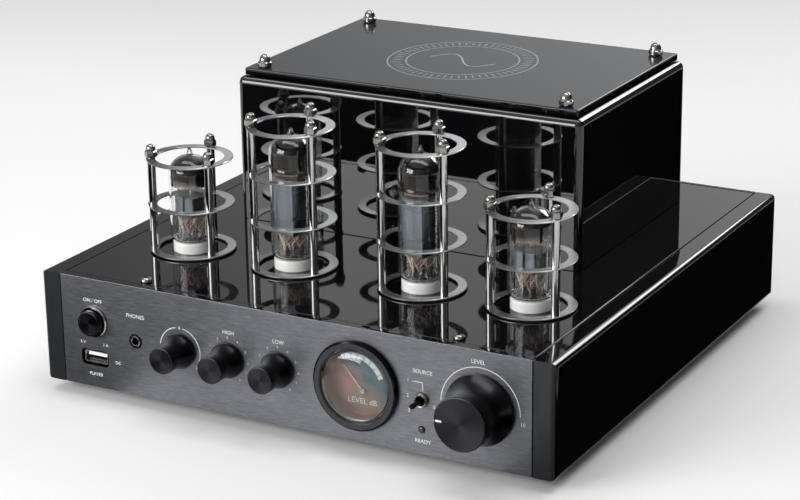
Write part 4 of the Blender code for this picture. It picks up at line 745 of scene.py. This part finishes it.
def make_valve(tall):
    total = 63.2 if tall else 45.7
    shoulder = total - 3.6 - 8.5
    outline = [(7.4, 0), (8.6, 0.1), (9.8, 0.6), (10.4, 1.2), (10.65, 2.2), (10.65, shoulder)]
    outline += dome_points(10.65, 8.5, shoulder, range(10, 81, 10))
    outline += [(1.5, shoulder + 8.6), (1.35, shoulder + 9.6), (0.9, shoulder + 11.2)]
    outline += [(0.4, total - 0.2), (0, total)]
    yield "glass", glass, "clear_glass", wall(turned(outline, 64), 0.7)

    film_foot = shoulder - (9.5 if tall else 6.0)
    film = [(9.8, film_foot), (9.8, shoulder)]
    film += dome_points(9.8, 7.6, shoulder, range(10, 81, 10)) + [(0, shoulder + 7.6)]
    getter_film = turned(film, 48)
    start_edit(getter_film)
    pick("faces", lambda at, way: way.z < -0.9)
    bpy.ops.mesh.delete(type="FACE")
    end_edit()
    silver = make_getter("getter_film_tall" if tall else "getter_film_short", GLASS_FOOT + film_foot)
    yield "getter_film", silver, "pale_metal", wall(getter_film, 0.08)

    anode_height = 27 if tall else 9.5
    low_mica = 11.7 if tall else 12.6
    high_mica = low_mica + 0.4 + anode_height
    anodes = []
    if tall:
        plates = block((-6.4, -6.4, low_mica + 0.4), (6.4, 6.4, high_mica))
        anodes.append(round_edges(plates, 0.9, 4, lambda at, way: abs(way.z) > 0.9))
        for height in (0.27, 0.78):
            crimp = low_mica + anode_height * height
            rib = block((-6.6, -6.6, crimp), (6.6, 6.6, crimp + 0.5))
            anodes.append(round_edges(rib, 1.0, 4, lambda at, way: abs(way.z) > 0.9))
    else:
        for side in (-1, 1):
            half = block((side * 3.5 - 3.1, -5.4, low_mica + 0.8), (side * 3.5 + 3.1, 5.4, high_mica - 0.4))
            anodes.append(round_edges(half, 1.0, 4, lambda at, way: abs(way.z) > 0.9))
    yield "anode", anode_grey, "pale_metal", place(joined(anodes), tilt=(0, 0, -15))

    micas = [bar(8.8, 0.3, (0, 0, height), steps=40) for height in (low_mica, high_mica)]
    yield "micas", mica, "white_ceramic", joined(micas)

    frame_rods = [bar(0.5, high_mica + 1.5 - 2.0, (side * 7.6, 0, 2.0), steps=12) for side in (-1, 1)]
    frame_rods.append(bar(0.9, high_mica + 4.0 - 2.0, (0, 0, 2.0), steps=12))
    getter_ring = turned([(3.4, 0), (3.4, 0.6), (2.6, 0.6), (2.6, 0), (3.4, 0)], 32)
    frame_rods.append(place(getter_ring, (0, 0, high_mica + 4.0)))
    yield "supports", nickel, "pale_metal", joined(frame_rods)

    pink = make_leads(((31, 3.6), (83, 1.6), (-20, 5.2), (55, 7.6), (-95, 2.4), (10, 6.4)), low_mica)
    yield "leads", copper, "pale_metal", pink
    tinned = make_leads(((-47, 7.2), (12, 8.0), (-75, 4.4), (70, 6.0), (35, 4.8), (-10, 2.8)), low_mica)
    yield "tinned_leads", pale_leads, "pale_metal", tinned
    pins = []
    for index in range(9):
        angle = radians((index + 1) * 36)
        pins.append(bar(0.5, 7.0, (5.95 * cos(angle), 5.95 * sin(angle), -5.0), edge=0.15, steps=12))
    yield "pins", nickel, "pale_metal", joined(pins)
    yield "button", glass, "clear_glass", turned([(7.0, 0.1), (7.9, 0.6), (7.9, 1.9), (7.3, 2.2)], 40)


for make_pieces, foot in ((make_guard, GUARD_FOOT), (make_valve, GLASS_FOOT)):
    for tall in (False, True):
        for suffix, finish, slot, piece in make_pieces(tall):
            node = "guard" if suffix.startswith("guard") else "glass" if suffix == "glass" else "electrodes"
            for number, x, is_tall in VALVES:
                if is_tall == tall:
                    twin = copied(piece, (x, VALVE_Y, foot))
                    own = finish or make_ring_finish(number, x)
                    fit(twin, f"valve_{number}_{suffix}", own, slot, [f"valve_{number}_{node}"])
            bpy.data.objects.remove(piece)

socket_points = [
    (9.6, -11.0), (9.6, -4.1), (12.0, -4.1), (12.0, -2.3), (9.6, -2.3), (9.6, 4.2), (9.4, 4.7), (8.8, 5.0),
    (7.35, 5.0), (7.35, -1.0), (4.55, -1.0), (4.55, 5.0),
]
ceramic_socket = turned(socket_points, 64)
places = {f"valve_{number}_socket": (x, VALVE_Y, DECK) for number, x, tall in VALVES}
deal(ceramic_socket, ceramic, "white_ceramic", places)

# Power switch and button.
bezel = turned(
    [(6.5, -10.0), (7.0, -19.0), (6.9, -0.1), (7.35, 0), (7.65, 0.3), (7.65, 0.8), (7.3, 1.2), (6.8, 1.2),
     (6.5, 0.9), (6.5, -10.0)],
    72,
)
place(bezel, (POWER[0], FRONT - GAP, POWER[1]), TO_FRONT)
fit(bezel, "power_switch_bezel", chrome, "chrome", ["power_switch"])
button = turned(
    [(6.0, -1.6), (6.2, -1.4), (6.2, 3.9), (6.05, 4.25), (5.7, 4.4), (5.3, 4.4), (5.0, 4.15), (0.2, 3.9)],
    72,
)
place(button, (POWER[0], FRONT - GAP, POWER[1]), TO_FRONT)
spun = make_spun_finish("button_black", *POWER, "1e1e21", "3c3c40", 0.3, 0.42)
fit(button, "power_button", spun, "satin_black", ["power_button"], "power_button")

# Headphone jack.
bush = turned([(3.0, -10.0), (3.0, 0.2), (2.7, 0.5), (2.1, 0.5), (1.8, 0.2), (1.8, -9.0), (0.2, -9.0)], 48)
place(bush, (JACK[0], FRONT, JACK[1]), TO_FRONT)
body = block((-87.5, FRONT + 4.3, 28.3), (-76.5, -113.85, 38.3))
cut(body, bar(3.0, 12, (JACK[0], FRONT + 10.0, JACK[1]), TO_FRONT, steps=48))
round_edges(body, 0.5, 2, lambda at, way: abs(way.y) > 0.9 and abs(at.x + 82) > 4)
lip = turned([(2.6, 0.4), (2.6, 0.55), (2.45, 0.7), (1.9, 0.7), (1.75, 0.55), (1.75, 0.4), (2.6, 0.4)], 48)
place(lip, (JACK[0], FRONT, JACK[1]), TO_FRONT)
fit(lip, "headphone_jack_lip", chrome, "chrome", ["headphone_jack"])
fit(bush, "headphone_jack_bush", plastic, "black_plastic", ["headphone_jack"])
fit(body, "headphone_jack_body", plastic, "black_plastic", ["headphone_jack"])

# USB socket.
low_y = FRONT + 1.0
shell = block((USB[0] - 6.6, low_y, USB[1] - 2.95), (USB[0] + 6.6, low_y + 14, USB[1] + 2.95))
round_edges(shell, 0.7, 3, lambda at, way: abs(way.y) > 0.9)
opening = block((USB[0] - 6.2, low_y - 1, USB[1] - 2.55), (USB[0] + 6.2, low_y + 13, USB[1] + 2.55))
cut(shell, round_edges(opening, 0.4, 2, lambda at, way: abs(way.y) > 0.9))
fit(shell, "usb_shell", tin, "chrome", ["usb_socket"])
tongue = block((USB[0] - 5.5, low_y + 1.4, USB[1] + 0.1), (USB[0] + 5.5, low_y + 13.2, USB[1] + 1.9))
fit(round_edges(tongue, 0.25, 2), "usb_tongue", ceramic, "white_ceramic", ["usb_socket"])
insert = block((USB[0] - 6.1, low_y + 1.8, USB[1] - 2.5), (USB[0] + 6.1, low_y + 12.9, USB[1] - 1.3))
fit(round_edges(insert, 0.2, 1), "usb_insert", plastic, "black_plastic", ["usb_socket"])
contacts = []
for step in (-3.5, -1.0, 1.0, 3.5):
    low = (USB[0] + step - 0.6, low_y + 1.8, USB[1] - 0.1)
    contacts.append(round_edges(block(low, (low[0] + 1.2, low_y + 12, USB[1] + 0.12)), 0.08, 1))
fit(joined(contacts), "usb_contacts", gold, "chrome", ["usb_socket"])
usb_board = block((USB[0] - 11, FRONT + 4.3, 16.55), (USB[0] + 11, -102.85, 18.05))
fit(round_edges(usb_board, 0.2, 1), "usb_board", board_finish, "board_green", ["usb_socket"])


# Knobs.
def knob_points(base, face, length):
    straight = length * 0.65
    points = [(3.0, -6.5), (3.0, 0.0), (base - 0.5, 0.0), (base, 0.4), (base, 1.6)]
    for step in range(1, 13):
        share = 1 - step / 12
        points.append((face + (base - face) * share**2, straight + (1.6 - straight) * share))
    points += [(face, length - 0.6), (face - 0.15, length - 0.2), (face - 0.6, length)]
    return points + [(face - 1.0, length), (face - 1.2, length - 0.12), (0.2, length - 0.12)]


def make_knob(name, x, base, face, length):
    knob = turned(knob_points(base, face, length), 96)
    place(knob, (x, FRONT - 0.5, CONTROLS), TO_FRONT)
    spun = make_spun_finish(name + "_black", x, CONTROLS, "1a1a1d", "444449", 0.3, 0.42)
    fit(knob, name, spun, "black_aluminium", [name], name)


for name, x in TONES:
    make_knob(f"{name}_knob", x, 8.5, 6.5, 15.5)
make_knob("volume_knob", VOLUME[0], 16.5, 12.6, 19.5)
mark = block((-12.3, -0.45, 19.3), (-8.6, 0.45, 19.45))
place(mark, (VOLUME[0], FRONT - 0.5, CONTROLS), TO_FRONT)
fit(mark, "volume_mark", ink, "white_ceramic", ["volume_knob"], "volume_knob")

# Meter.
def make_bezel_finish():
    """Satin dark grey with a glossy black outer rounding."""
    finish = Finish("dark_bezel", Metallic=0.8)
    across, deep, up = finish.axes((METER[0], 0, METER[1]))
    rim = (across * across + up * up).maths("SQRT") > 20.3
    grain = finish.noise(1, detail=3).spread(0, 1)
    finish.feed(
        Base_Color=rim.blend(grain.blend(colour("3c3c40"), colour("48484c")), colour("0a0a0b")),
        Roughness=rim * -0.2 + grain.spread(0.3, 0.36, 0, 1),
    )
    return finish


bezel = turned(
    [(17.7, 0.3), (21.5, 0.3), (21.5, 1.6), (21.2, 2.35), (20.35, 2.9), (18.2, 2.9), (17.7, 2.4), (17.7, 0.3)],
    128,
)
place(bezel, (METER[0], FRONT, METER[1]), TO_FRONT)
fit(bezel, "meter_bezel", make_bezel_finish(), "satin_black", ["meter_bezel"])
skin = [(17.45, -0.1), (17.45, 1.6), (17.3, 2.3)]
skin += dome_points(17.1, 4.0, 2.3, range(8, 89, 8)) + [(0, 6.3)]
lens = turned(skin, 96)
start_edit(lens)
pick("faces", lambda at, way: way.z < -0.9)
bpy.ops.mesh.delete(type="FACE")
end_edit()
wall(lens, 0.8)
place(lens, (METER[0], FRONT, METER[1]), TO_FRONT)
fit(lens, "meter_lens", lens_glass, "clear_glass", ["meter_lens"])


def make_dial_finish():
    """A dial coloured with painted light: a teal cast upper right, a peach cast lower left and a pink glow left of
    the middle, near the needle.
    """
    finish = Finish("dial_painted_light")
    x, y, z = finish.axes((METER[0], 0, METER[1]))
    cloud = finish.noise(9, detail=2)
    # Painted light: across sets the teal-to-peach cast, pink the glow near the needle.
    across = (x * 0.7 + z * 0.9 + cloud * 8).spread(0, 1, -3, 7)
    reach = ((x + 7.0) * (x + 7.0) + (z - 1.0) * (z - 1.0)).maths("SQRT")
    pink = (reach + cloud * 4).spread(0.55, 0.0, 3, 9)
    finish.feed(
        Base_Color=pink.blend(across.blend(colour("94786a"), colour("4f666c")), colour("b87482")),
        Roughness=cloud.spread(0.35, 0.5),
    )
    finish.bump(finish.noise(0.6), 0.004)
    return finish


dial = bar(17.1, 0.8, (METER[0], FRONT + 7.2, METER[1]), TO_FRONT, edge=0.15, steps=96)
cut(dial, bar(1.2, 4, (METER[0], FRONT + 9, 28.3), TO_FRONT, steps=24))
dial_finish = make_dial_finish()
fit(dial, "meter_dial", dial_finish, "dial_cream", ["meter_dial"])
surround = turned(
    [(17.2, -0.7), (17.3, -0.7), (17.3, -6.2), (15.8, -6.2), (16.6, -5.4), (17.1, -3.0), (17.2, -0.7)],
    96,
)
place(surround, (METER[0], FRONT, METER[1]), TO_FRONT)
fit(surround, "meter_dial_surround", dial_finish, "dial_cream", ["meter_dial"])
pivot = (METER[0], FRONT, 28.3)
hub = turned([(0.8, -11.0), (0.8, -6.1), (1.1, -6.1), (1.3, -5.9), (1.3, -5.1), (1.1, -4.9)], 32)
pointer = block((-0.22, 0, -5.6), (0.22, 12.0, -5.2))
start_edit(pointer)
pick("faces", lambda at, way: way.y > 0.9)
bpy.ops.mesh.extrude_region_move(TRANSFORM_OT_translate={"value": (0, 3.0 * MM, 0)})
bpy.ops.transform.resize(value=(0.3, 1, 1), center_override=(0, 0, 0))
end_edit()
place(pointer, tilt=(0, 0, 40))
for piece, name, finish in ((hub, "meter_needle_hub", nickel), (pointer, "meter_needle", tin)):
    place(piece, pivot, TO_FRONT)
    fit(piece, name, finish, "pale_metal", ["meter_needle"], "meter_needle")

# Input selector.
bush = turned([(3.2, -9.0), (3.2, 1.9), (2.8, 2.4), (2.5, 2.2), (2.5, -5.0), (0.2, -5.2)], 40)
place(bush, (TOGGLE[0], FRONT, TOGGLE[1]), TO_FRONT)
fit(bush, "toggle_bush", nickel, "chrome", ["toggle_switch"])
body = block((65.6, FRONT + 4.3, 26.4), (74.6, -113.85, 38.4))
cut(body, bar(3.2, 12, (TOGGLE[0], FRONT + 9, TOGGLE[1]), TO_FRONT, steps=40))
fit(body, "toggle_body", plastic, "black_plastic", ["toggle_switch"])
ball = dome_points(2.1, 2.1, 0, range(-80, 61, 20))
lever = turned(ball + [(0.9, 2.2), (1.2, 10.2), (1.3, 11.6), (1.15, 12.3), (0.7, 12.75), (0, 12.8)], 24)
place(lever, (TOGGLE[0], FRONT + 2.8, TOGGLE[1]), TO_FRONT)
fit(lever, "toggle_lever", knob_finish, "chrome", ["toggle_lever"], "toggle_lever")

# Indicator lamp.
lamp = turned(
    [(1.5, -7.0), (1.5, -5.3), (2.1, -5.3), (2.1, -4.3), (1.5, -4.3), (1.5, 0.0), (1.35, 0.5), (0.9, 0.85), (0, 1.0)],
    32,
)
place(lamp, (LAMP[0], FRONT, LAMP[1]), TO_FRONT)
fit(lamp, "indicator_lamp", dull("lamp_lens", "2a2624", "3a3432", 0.12, 0.2), "clear_glass", ["indicator_led"])

# Printed words, numbers and scales on the panel: generic ones only.
prints = []
for text, x, z, height in (
    ("ON / OFF", -105.6, 49.6, 1.8),
    ("PHONES", -81.6, 45.7, 1.9),
    ("5 V", -112.4, 28.0, 1.5),
    ("1 A", -99.4, 28.2, 1.5),
    ("DC", -92.6, 20.4, 1.5),
    ("PLAYER", -105.7, 12.6, 1.6),
    ("0", -57.0, 44.2, 1.7),
    ("L", -67.6, 30.6, 1.7),
    ("R", -47.8, 25.7, 1.7),
    ("HIGH", -30.1, 46.5, 1.8),
    ("LOW", -3.4, 46.5, 1.8),
    ("SOURCE", 70.6, 45.4, 1.8),
    ("1", 63.3, 40.6, 1.6),
    ("2", 63.0, 33.2, 1.6),
    ("3", 63.6, 26.2, 1.6),
    ("READY", 70.4, 12.5, 1.8),
    ("LEVEL", 97.9, 55.0, 1.9),
    ("0", 76.2, 29.8, 1.7),
    ("10", 119.3, 29.7, 1.8),
):
    prints.append(words(text, x, z, height))
prints.append(ring_arc(-57.0, CONTROLS, 11.0, 0.35, 100, 172))
prints.append(ring_arc(-57.0, CONTROLS, 11.0, 0.35, 80, -20))
prints.append(ring_arc(VOLUME[0], CONTROLS, 19.3, 0.35, 178, 0))
for x in (-30.7, -3.9):
    for number, angle in enumerate((152, 120, 90, 60, 28, 0, -28, -56), 1):
        prints.append(words(str(number), *polar((x, CONTROLS), 10.8, angle), 1.1))
prints.append(line([(65.6, 40.4), (70.5, 40.4), (70.5, 36.8)], 0.28))
fit(joined(prints), "panel_print", ink, "white_ceramic")

band_middle = (METER[0] - 4.5, METER[1] - 3.0)
fit(ring_arc(*band_middle, 14.2, 2.8, 20, 118, y=FRONT + 6.38), "dial_band", ink, "white_ceramic")
marks = []
for step, number in enumerate(("20", "10", "5", "3", "0", "2", "3")):
    angle = 112 - step * 14
    ends = [polar(band_middle, reach, angle) for reach in (12.9, 13.9, 14.8)]
    marks.append(line(ends[:2], 0.3, y=FRONT + 6.34))
    marks.append(words(number, *ends[2], 1.1, y=FRONT + 6.33))
dial_black = dull("dial_black", "141416", "1e1e20", 0.4, 0.5)
fit(joined(marks), "dial_scale", dial_black, "black_plastic")
fit(words("LEVEL dB", METER[0] - 0.8, 23.0, 2.7, y=FRONT + 6.35), "dial_words", ink, "white_ceramic")

# Emblem on the lid: two circles, a scale between them and a sine wave.
emblem = [ring_arc(0, 0, radius, 0.7, 0, 360, y=0, steps=128) for radius in (37.5, 28.3)]
for step in range(60):
    ends = [polar((0, 0), reach, step * 6) for reach in (31.0, 34.6 if step % 5 else 35.4)]
    emblem.append(line(ends, 0.6, y=0))
wave = []
for half_width in (-0.5, 0.5):
    row = []
    for step in range(49):
        slope = 1.6 * cos(radians(7.5 * step))
        away = half_width / sqrt(1 + slope * slope)
        row.append((0.75 * step - 18 - away * slope, 9 * sin(radians(7.5 * step)) + away))
    wave.append(row)
emblem.append(strip(wave, y=0))
place(joined(emblem), (*LID_MIDDLE, 138.1), TO_BACK)
fit(bpy.context.object, "lid_emblem", dull("emblem_ink", "8a9096", "989ea4", 0.3, 0.45), "lid_grey")

# Feet.
foot_points = [(7.6, 0.0), (8.0, 0.4), (8.9, 5.2), (9.0, 5.7), (2.4, 5.7), (2.4, 7.5), (3.0, 8.0), (2.2, 10.5)]
places = {
    f"foot_{end}_{side}": (x, y, 0)
    for end, y in (("front", -101.15), ("rear", 103.85))
    for side, x in (("left", -105), ("right", 105))
}
deal(turned(foot_points, 48), rubber, "black_rubber", places)


# Connectors on the rear panel.
def rear_plate(x, plate, thickness, behind, depth):
    """A plate on the rear panel with the block that passes through its window."""
    foot = BACK + GAP
    wide, high = plate[0] / 2, plate[1] / 2
    sheet = block((x - wide, foot, CONTROLS - high), (x + wide, foot + thickness, CONTROLS + high))
    round_edges(sheet, 1.5, 4, lambda at, way: abs(way.y) > 0.9)
    round_edges(sheet, 0.35, 2, lambda at, way: at.y > foot + thickness - 0.01)
    low = (x - behind[0] / 2, foot + 0.1 - depth, CONTROLS - behind[1] / 2)
    return cut(sheet, block(low, (x + behind[0] / 2, foot + 0.5, CONTROLS + behind[1] / 2)), "UNION")


inlet = rear_plate(98.0, (31, 24), 2.5, (27, 20), 22)
recess = block((86.5, 120.65, 25.3), (109.5, 139, 41.3))
round_edges(recess, 5.0, 1, lambda at, way: abs(way.y) > 0.9 and at.z > CONTROLS)
round_edges(recess, 1.0, 3, lambda at, way: abs(way.y) > 0.9 and at.z < 26)
fit(cut(inlet, recess), "mains_inlet_body", plastic, "black_plastic", ["mains_inlet"])
blades = []
for x, lift in ((91.0, 0), (98.0, 3), (105.0, 0)):
    blade = block((x - 1, 120.6, CONTROLS + lift - 2.5), (x + 1, 131.65, CONTROLS + lift + 2.5))
    blades.append(round_edges(blade, 0.5, 2, lambda at, way: at.y > 131))
fit(joined(blades), "mains_inlet_blades", nickel, "black_plastic", ["mains_inlet"])

red_plastic = dull("moulded_red", "8c1414", "a81c1c", 0.3, 0.42, size=0.7)
white_plastic = dull("moulded_white", "d8d6d0", "e6e4de", 0.3, 0.42, size=0.7)
line_plate = rear_plate(-88.0, (42, 34), 2.0, (36, 28), 9)
fit(line_plate, "line_input_plate", plastic, "black_plastic", ["line_input_jacks"])
sleeve = turned([(3.4, -0.1), (4.2, -0.1), (4.2, 8.5), (3.9, 9.0), (3.6, 9.0), (3.4, 8.8), (3.4, -0.1)], 48)
nut = turned([(4.1, 0), (5.6, 0), (5.6, 1.5), (5.2, 1.9), (4.1, 1.9), (4.1, 0)], 6)
sleeve = joined([sleeve, nut])
insert = turned([(1.7, 0), (3.4, 0), (3.4, 8.2), (3.1, 8.5), (2.0, 8.5), (1.7, 8.2), (1.7, 0)], 48)
contact = turned([(0.9, 0.0), (1.7, 0.0), (1.7, 7.9), (1.2, 8.1), (0.9, 7.9), (0.9, 0.0)], 32)
for name, finish, form, columns in (
    ("sleeves", tin, sleeve, (-96, -80)),
    ("white_inserts", white_plastic, insert, (-96,)),
    ("red_inserts", red_plastic, insert, (-80,)),
    ("contacts", gold, contact, (-96, -80)),
):
    places = [(x, BACK + 2.3, CONTROLS + z) for x in columns for z in (-8, 8)]
    jacks = joined([copied(form, at, TO_BACK) for at in places])
    fit(jacks, f"line_input_{name}", finish, "black_plastic", ["line_input_jacks"])
for form in (sleeve, insert, contact):
    bpy.data.objects.remove(form)

speaker_plate = rear_plate(2.0, (88, 30), 2.0, (82, 22), 9)
fit(speaker_plate, "speaker_plate", plastic, "black_plastic", ["speaker_terminals"])
stud = turned(
    [(3.2, -0.1), (3.2, 0.4), (2.9, 0.7), (3.2, 1.0), (2.9, 1.3), (3.2, 1.6), (2.9, 1.9), (3.2, 2.2), (3.2, 5.0),
     (0.2, 5.0)],
    40,
)
sleeve = turned([(2.0, 4.8), (3.4, 4.8), (3.4, 15.0), (2.3, 15.0), (2.0, 14.7), (2.0, 4.8)], 48)
stud = joined([stud, sleeve])
grip = turned([(3.3, 3.0), (5.5, 3.0), (6.0, 3.5), (6.0, 13.4), (5.4, 14.2), (3.3, 14.3), (3.3, 3.0)], 48)


def in_groove(at, way):
    """Every second face round the side of a grip."""
    sector = int((Vector((1, 0)).angle_signed(at.xy) + pi) / pi * 24)
    return abs(way.z) < 0.1 and 5 < at.z < 12 and sector % 2


start_edit(grip)
pick("faces", in_groove)
bpy.ops.mesh.extrude_faces_move(TRANSFORM_OT_shrink_fatten={"value": -0.4 * MM})
end_edit()
for name, finish, form, columns in (
    ("studs", gold, stud, (-28, -8, 12, 32)),
    ("black_grips", plastic, grip, (-28, 12)),
    ("red_grips", red_plastic, grip, (-8, 32)),
):
    posts = joined([copied(form, (x, BACK + 2.3, CONTROLS), TO_BACK) for x in columns])
    fit(posts, f"speaker_{name}", finish, "black_plastic", ["speaker_terminals"])
for form in (stud, grip):
    bpy.data.objects.remove(form)

prints = []
for text, x, z, height in (
    ("LINE IN", -88, 53.5, 2.2), ("L", -96, 47.6, 1.6), ("R", -80, 47.6, 1.6), ("SPEAKERS", 2, 52.0, 2.2),
    ("L", -18, 45.2, 1.6), ("R", 22, 45.2, 1.6), ("MAINS", 98, 48.8, 2.2),
):
    y = BACK + 2.36 if height < 2 else BACK + 0.05
    prints.append(words(text, x, z, height, y=y, tilt=(90, 0, 180)))
fit(joined(prints), "rear_print", ink, "white_ceramic")

# CAD nodes that keep their shape get a finer finish.
for finish, names in (
    (satin_sheet, ("rear_panel",)),
    (zinc, ("chassis_tray",)),
    (iron, ("power_transformer", "output_transformer_left", "output_transformer_right", "volume_potentiometer")),
    (board_finish, ("main_board", "tone_potentiometers")),
    (plastic, ("meter_case",)),
):
    for name in names:
        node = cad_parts[name]
        for index in range(len(node.material_slots)):
            node.material_slots[index].material = finish.material


# Studio: floor, black cards, lights and camera.
floor_finish = Finish("studio_floor", Roughness=0.9)
far = floor_finish.axes()[1]
wear = floor_finish.noise(700, detail=2)
pale = wear.spread(0, 1).blend(colour("e8e8e8"), colour("ededed"))
# Painted fall-off of light: the floor's colour turns from pale near the amplifier to mid grey far behind it.
floor_finish.feed(Base_Color=far.spread(0, 1, 350, 1700).blend(pale, colour("949494")))
bpy.ops.mesh.primitive_plane_add(size=14, location=(0, 0, 0))
floor = bpy.context.object
floor.name = "studio_floor"
floor.data.materials.append(floor_finish.material)
floor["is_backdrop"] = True

# The black cards are seen only in reflections: they put dark surroundings into the glossy surfaces and cast no
# shadow.
card_finish = Finish("black_card", Roughness=0.9, Specular_IOR_Level=0.0)
card_finish.feed(Base_Color=card_finish.noise(5).spread(0, 1).blend(colour("050505"), colour("0a0a0a")))
for name, low, high in (
    ("front", (-430, -520, 0.4), (60, -280, 0.6)),
    ("front_left", (-430, -280, 0.4), (-100, -134, 0.6)),
    ("front_right", (105, -280, 0.4), (300, -134, 0.6)),
    ("right", (137, -134, 0.4), (360, 680, 0.6)),
):
    card = block(low, high)
    card.name = f"black_card_{name}"
    card.data.materials.append(card_finish.material)
    card.visible_camera = card.visible_diffuse = card.visible_transmission = card.visible_shadow = False
    card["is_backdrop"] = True

world = bpy.data.worlds.new("studio")
bpy.context.scene.world = world
world.use_nodes = True
tree = world.node_tree
sky = Value(tree, tree.nodes.new("ShaderNodeTexCoord").outputs["Generated"])


def towards(direction):
    """How far a direction of the sky lies along another."""
    return sky.node("VectorMath", {"operation": "DOT_PRODUCT"}, {0: sky, 1: direction}, "Value")


side = towards((0.83, 0.55, 0))
rear_glow = side.spread(0.26, 0.9, -0.06, 0.25) * side.spread(1, 0.15, 0.3, 0.6)
front = towards((0, -1, 0)).spread(0, 1, -0.4, 0.2)
right = towards((1, 0, 0)).spread(0, 1, 0.2, 0.8)
up = towards((0, 0, 1)).spread(0, 1, 0.45, 0.8)
light = ((1 - front) * rear_glow + front * 0.5) * (1 - right * 0.7)
tree.nodes["Background"].inputs["Color"].default_value = (1, 1, 1, 1)
tree.links.new((light + up * 0.1).socket, tree.nodes["Background"].inputs["Strength"])


def softbox(name, place, aim, size, radiance):
    """A rectangular lamp that shines evenly with this radiance."""
    lamp = bpy.data.lights.new(name, "AREA")
    lamp.shape = "RECTANGLE"
    lamp.size, lamp.size_y = size
    lamp.energy = radiance * pi * size[0] * size[1]
    holder = bpy.data.objects.new(name, lamp)
    bpy.context.scene.collection.objects.link(holder)
    holder.location = place
    holder.rotation_euler = (Vector(aim) - Vector(place)).to_track_quat("-Z", "Y").to_euler()


softbox("key_front_left", (-0.62, -1.1, 0.5), (0, 0, 0.08), (0.8, 0.58), 9)
softbox("overhead", (-0.05, -0.05, 1.5), (-0.05, -0.05, 0), (1.8, 0.4), 3.7)
softbox("rim_rear_right", (0.36, 1.4, 1.0), (0, 0, 0.08), (0.75, 0.5), 9)

eye = bpy.data.cameras.new("camera")
eye.lens, eye.sensor_width = 106.87, 36
camera = bpy.data.objects.new("camera", eye)
bpy.context.scene.collection.objects.link(camera)
camera.matrix_world = Matrix(
    (
        (0.87633, -0.14466, 0.45948, 0.53071),
        (0.48153, 0.28967, -0.82718, -0.97820),
        (-0.01344, 0.94613, 0.32350, 0.43152),
        (0, 0, 0, 1),
    )
)
bpy.context.scene.camera = camera
bpy.context.scene.view_settings.view_transform = "Standard"

visual_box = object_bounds()
boxes = {"cad": cad_box, "visual": visual_box}
{name: [list(corner) for corner in box] for name, box in boxes.items()}
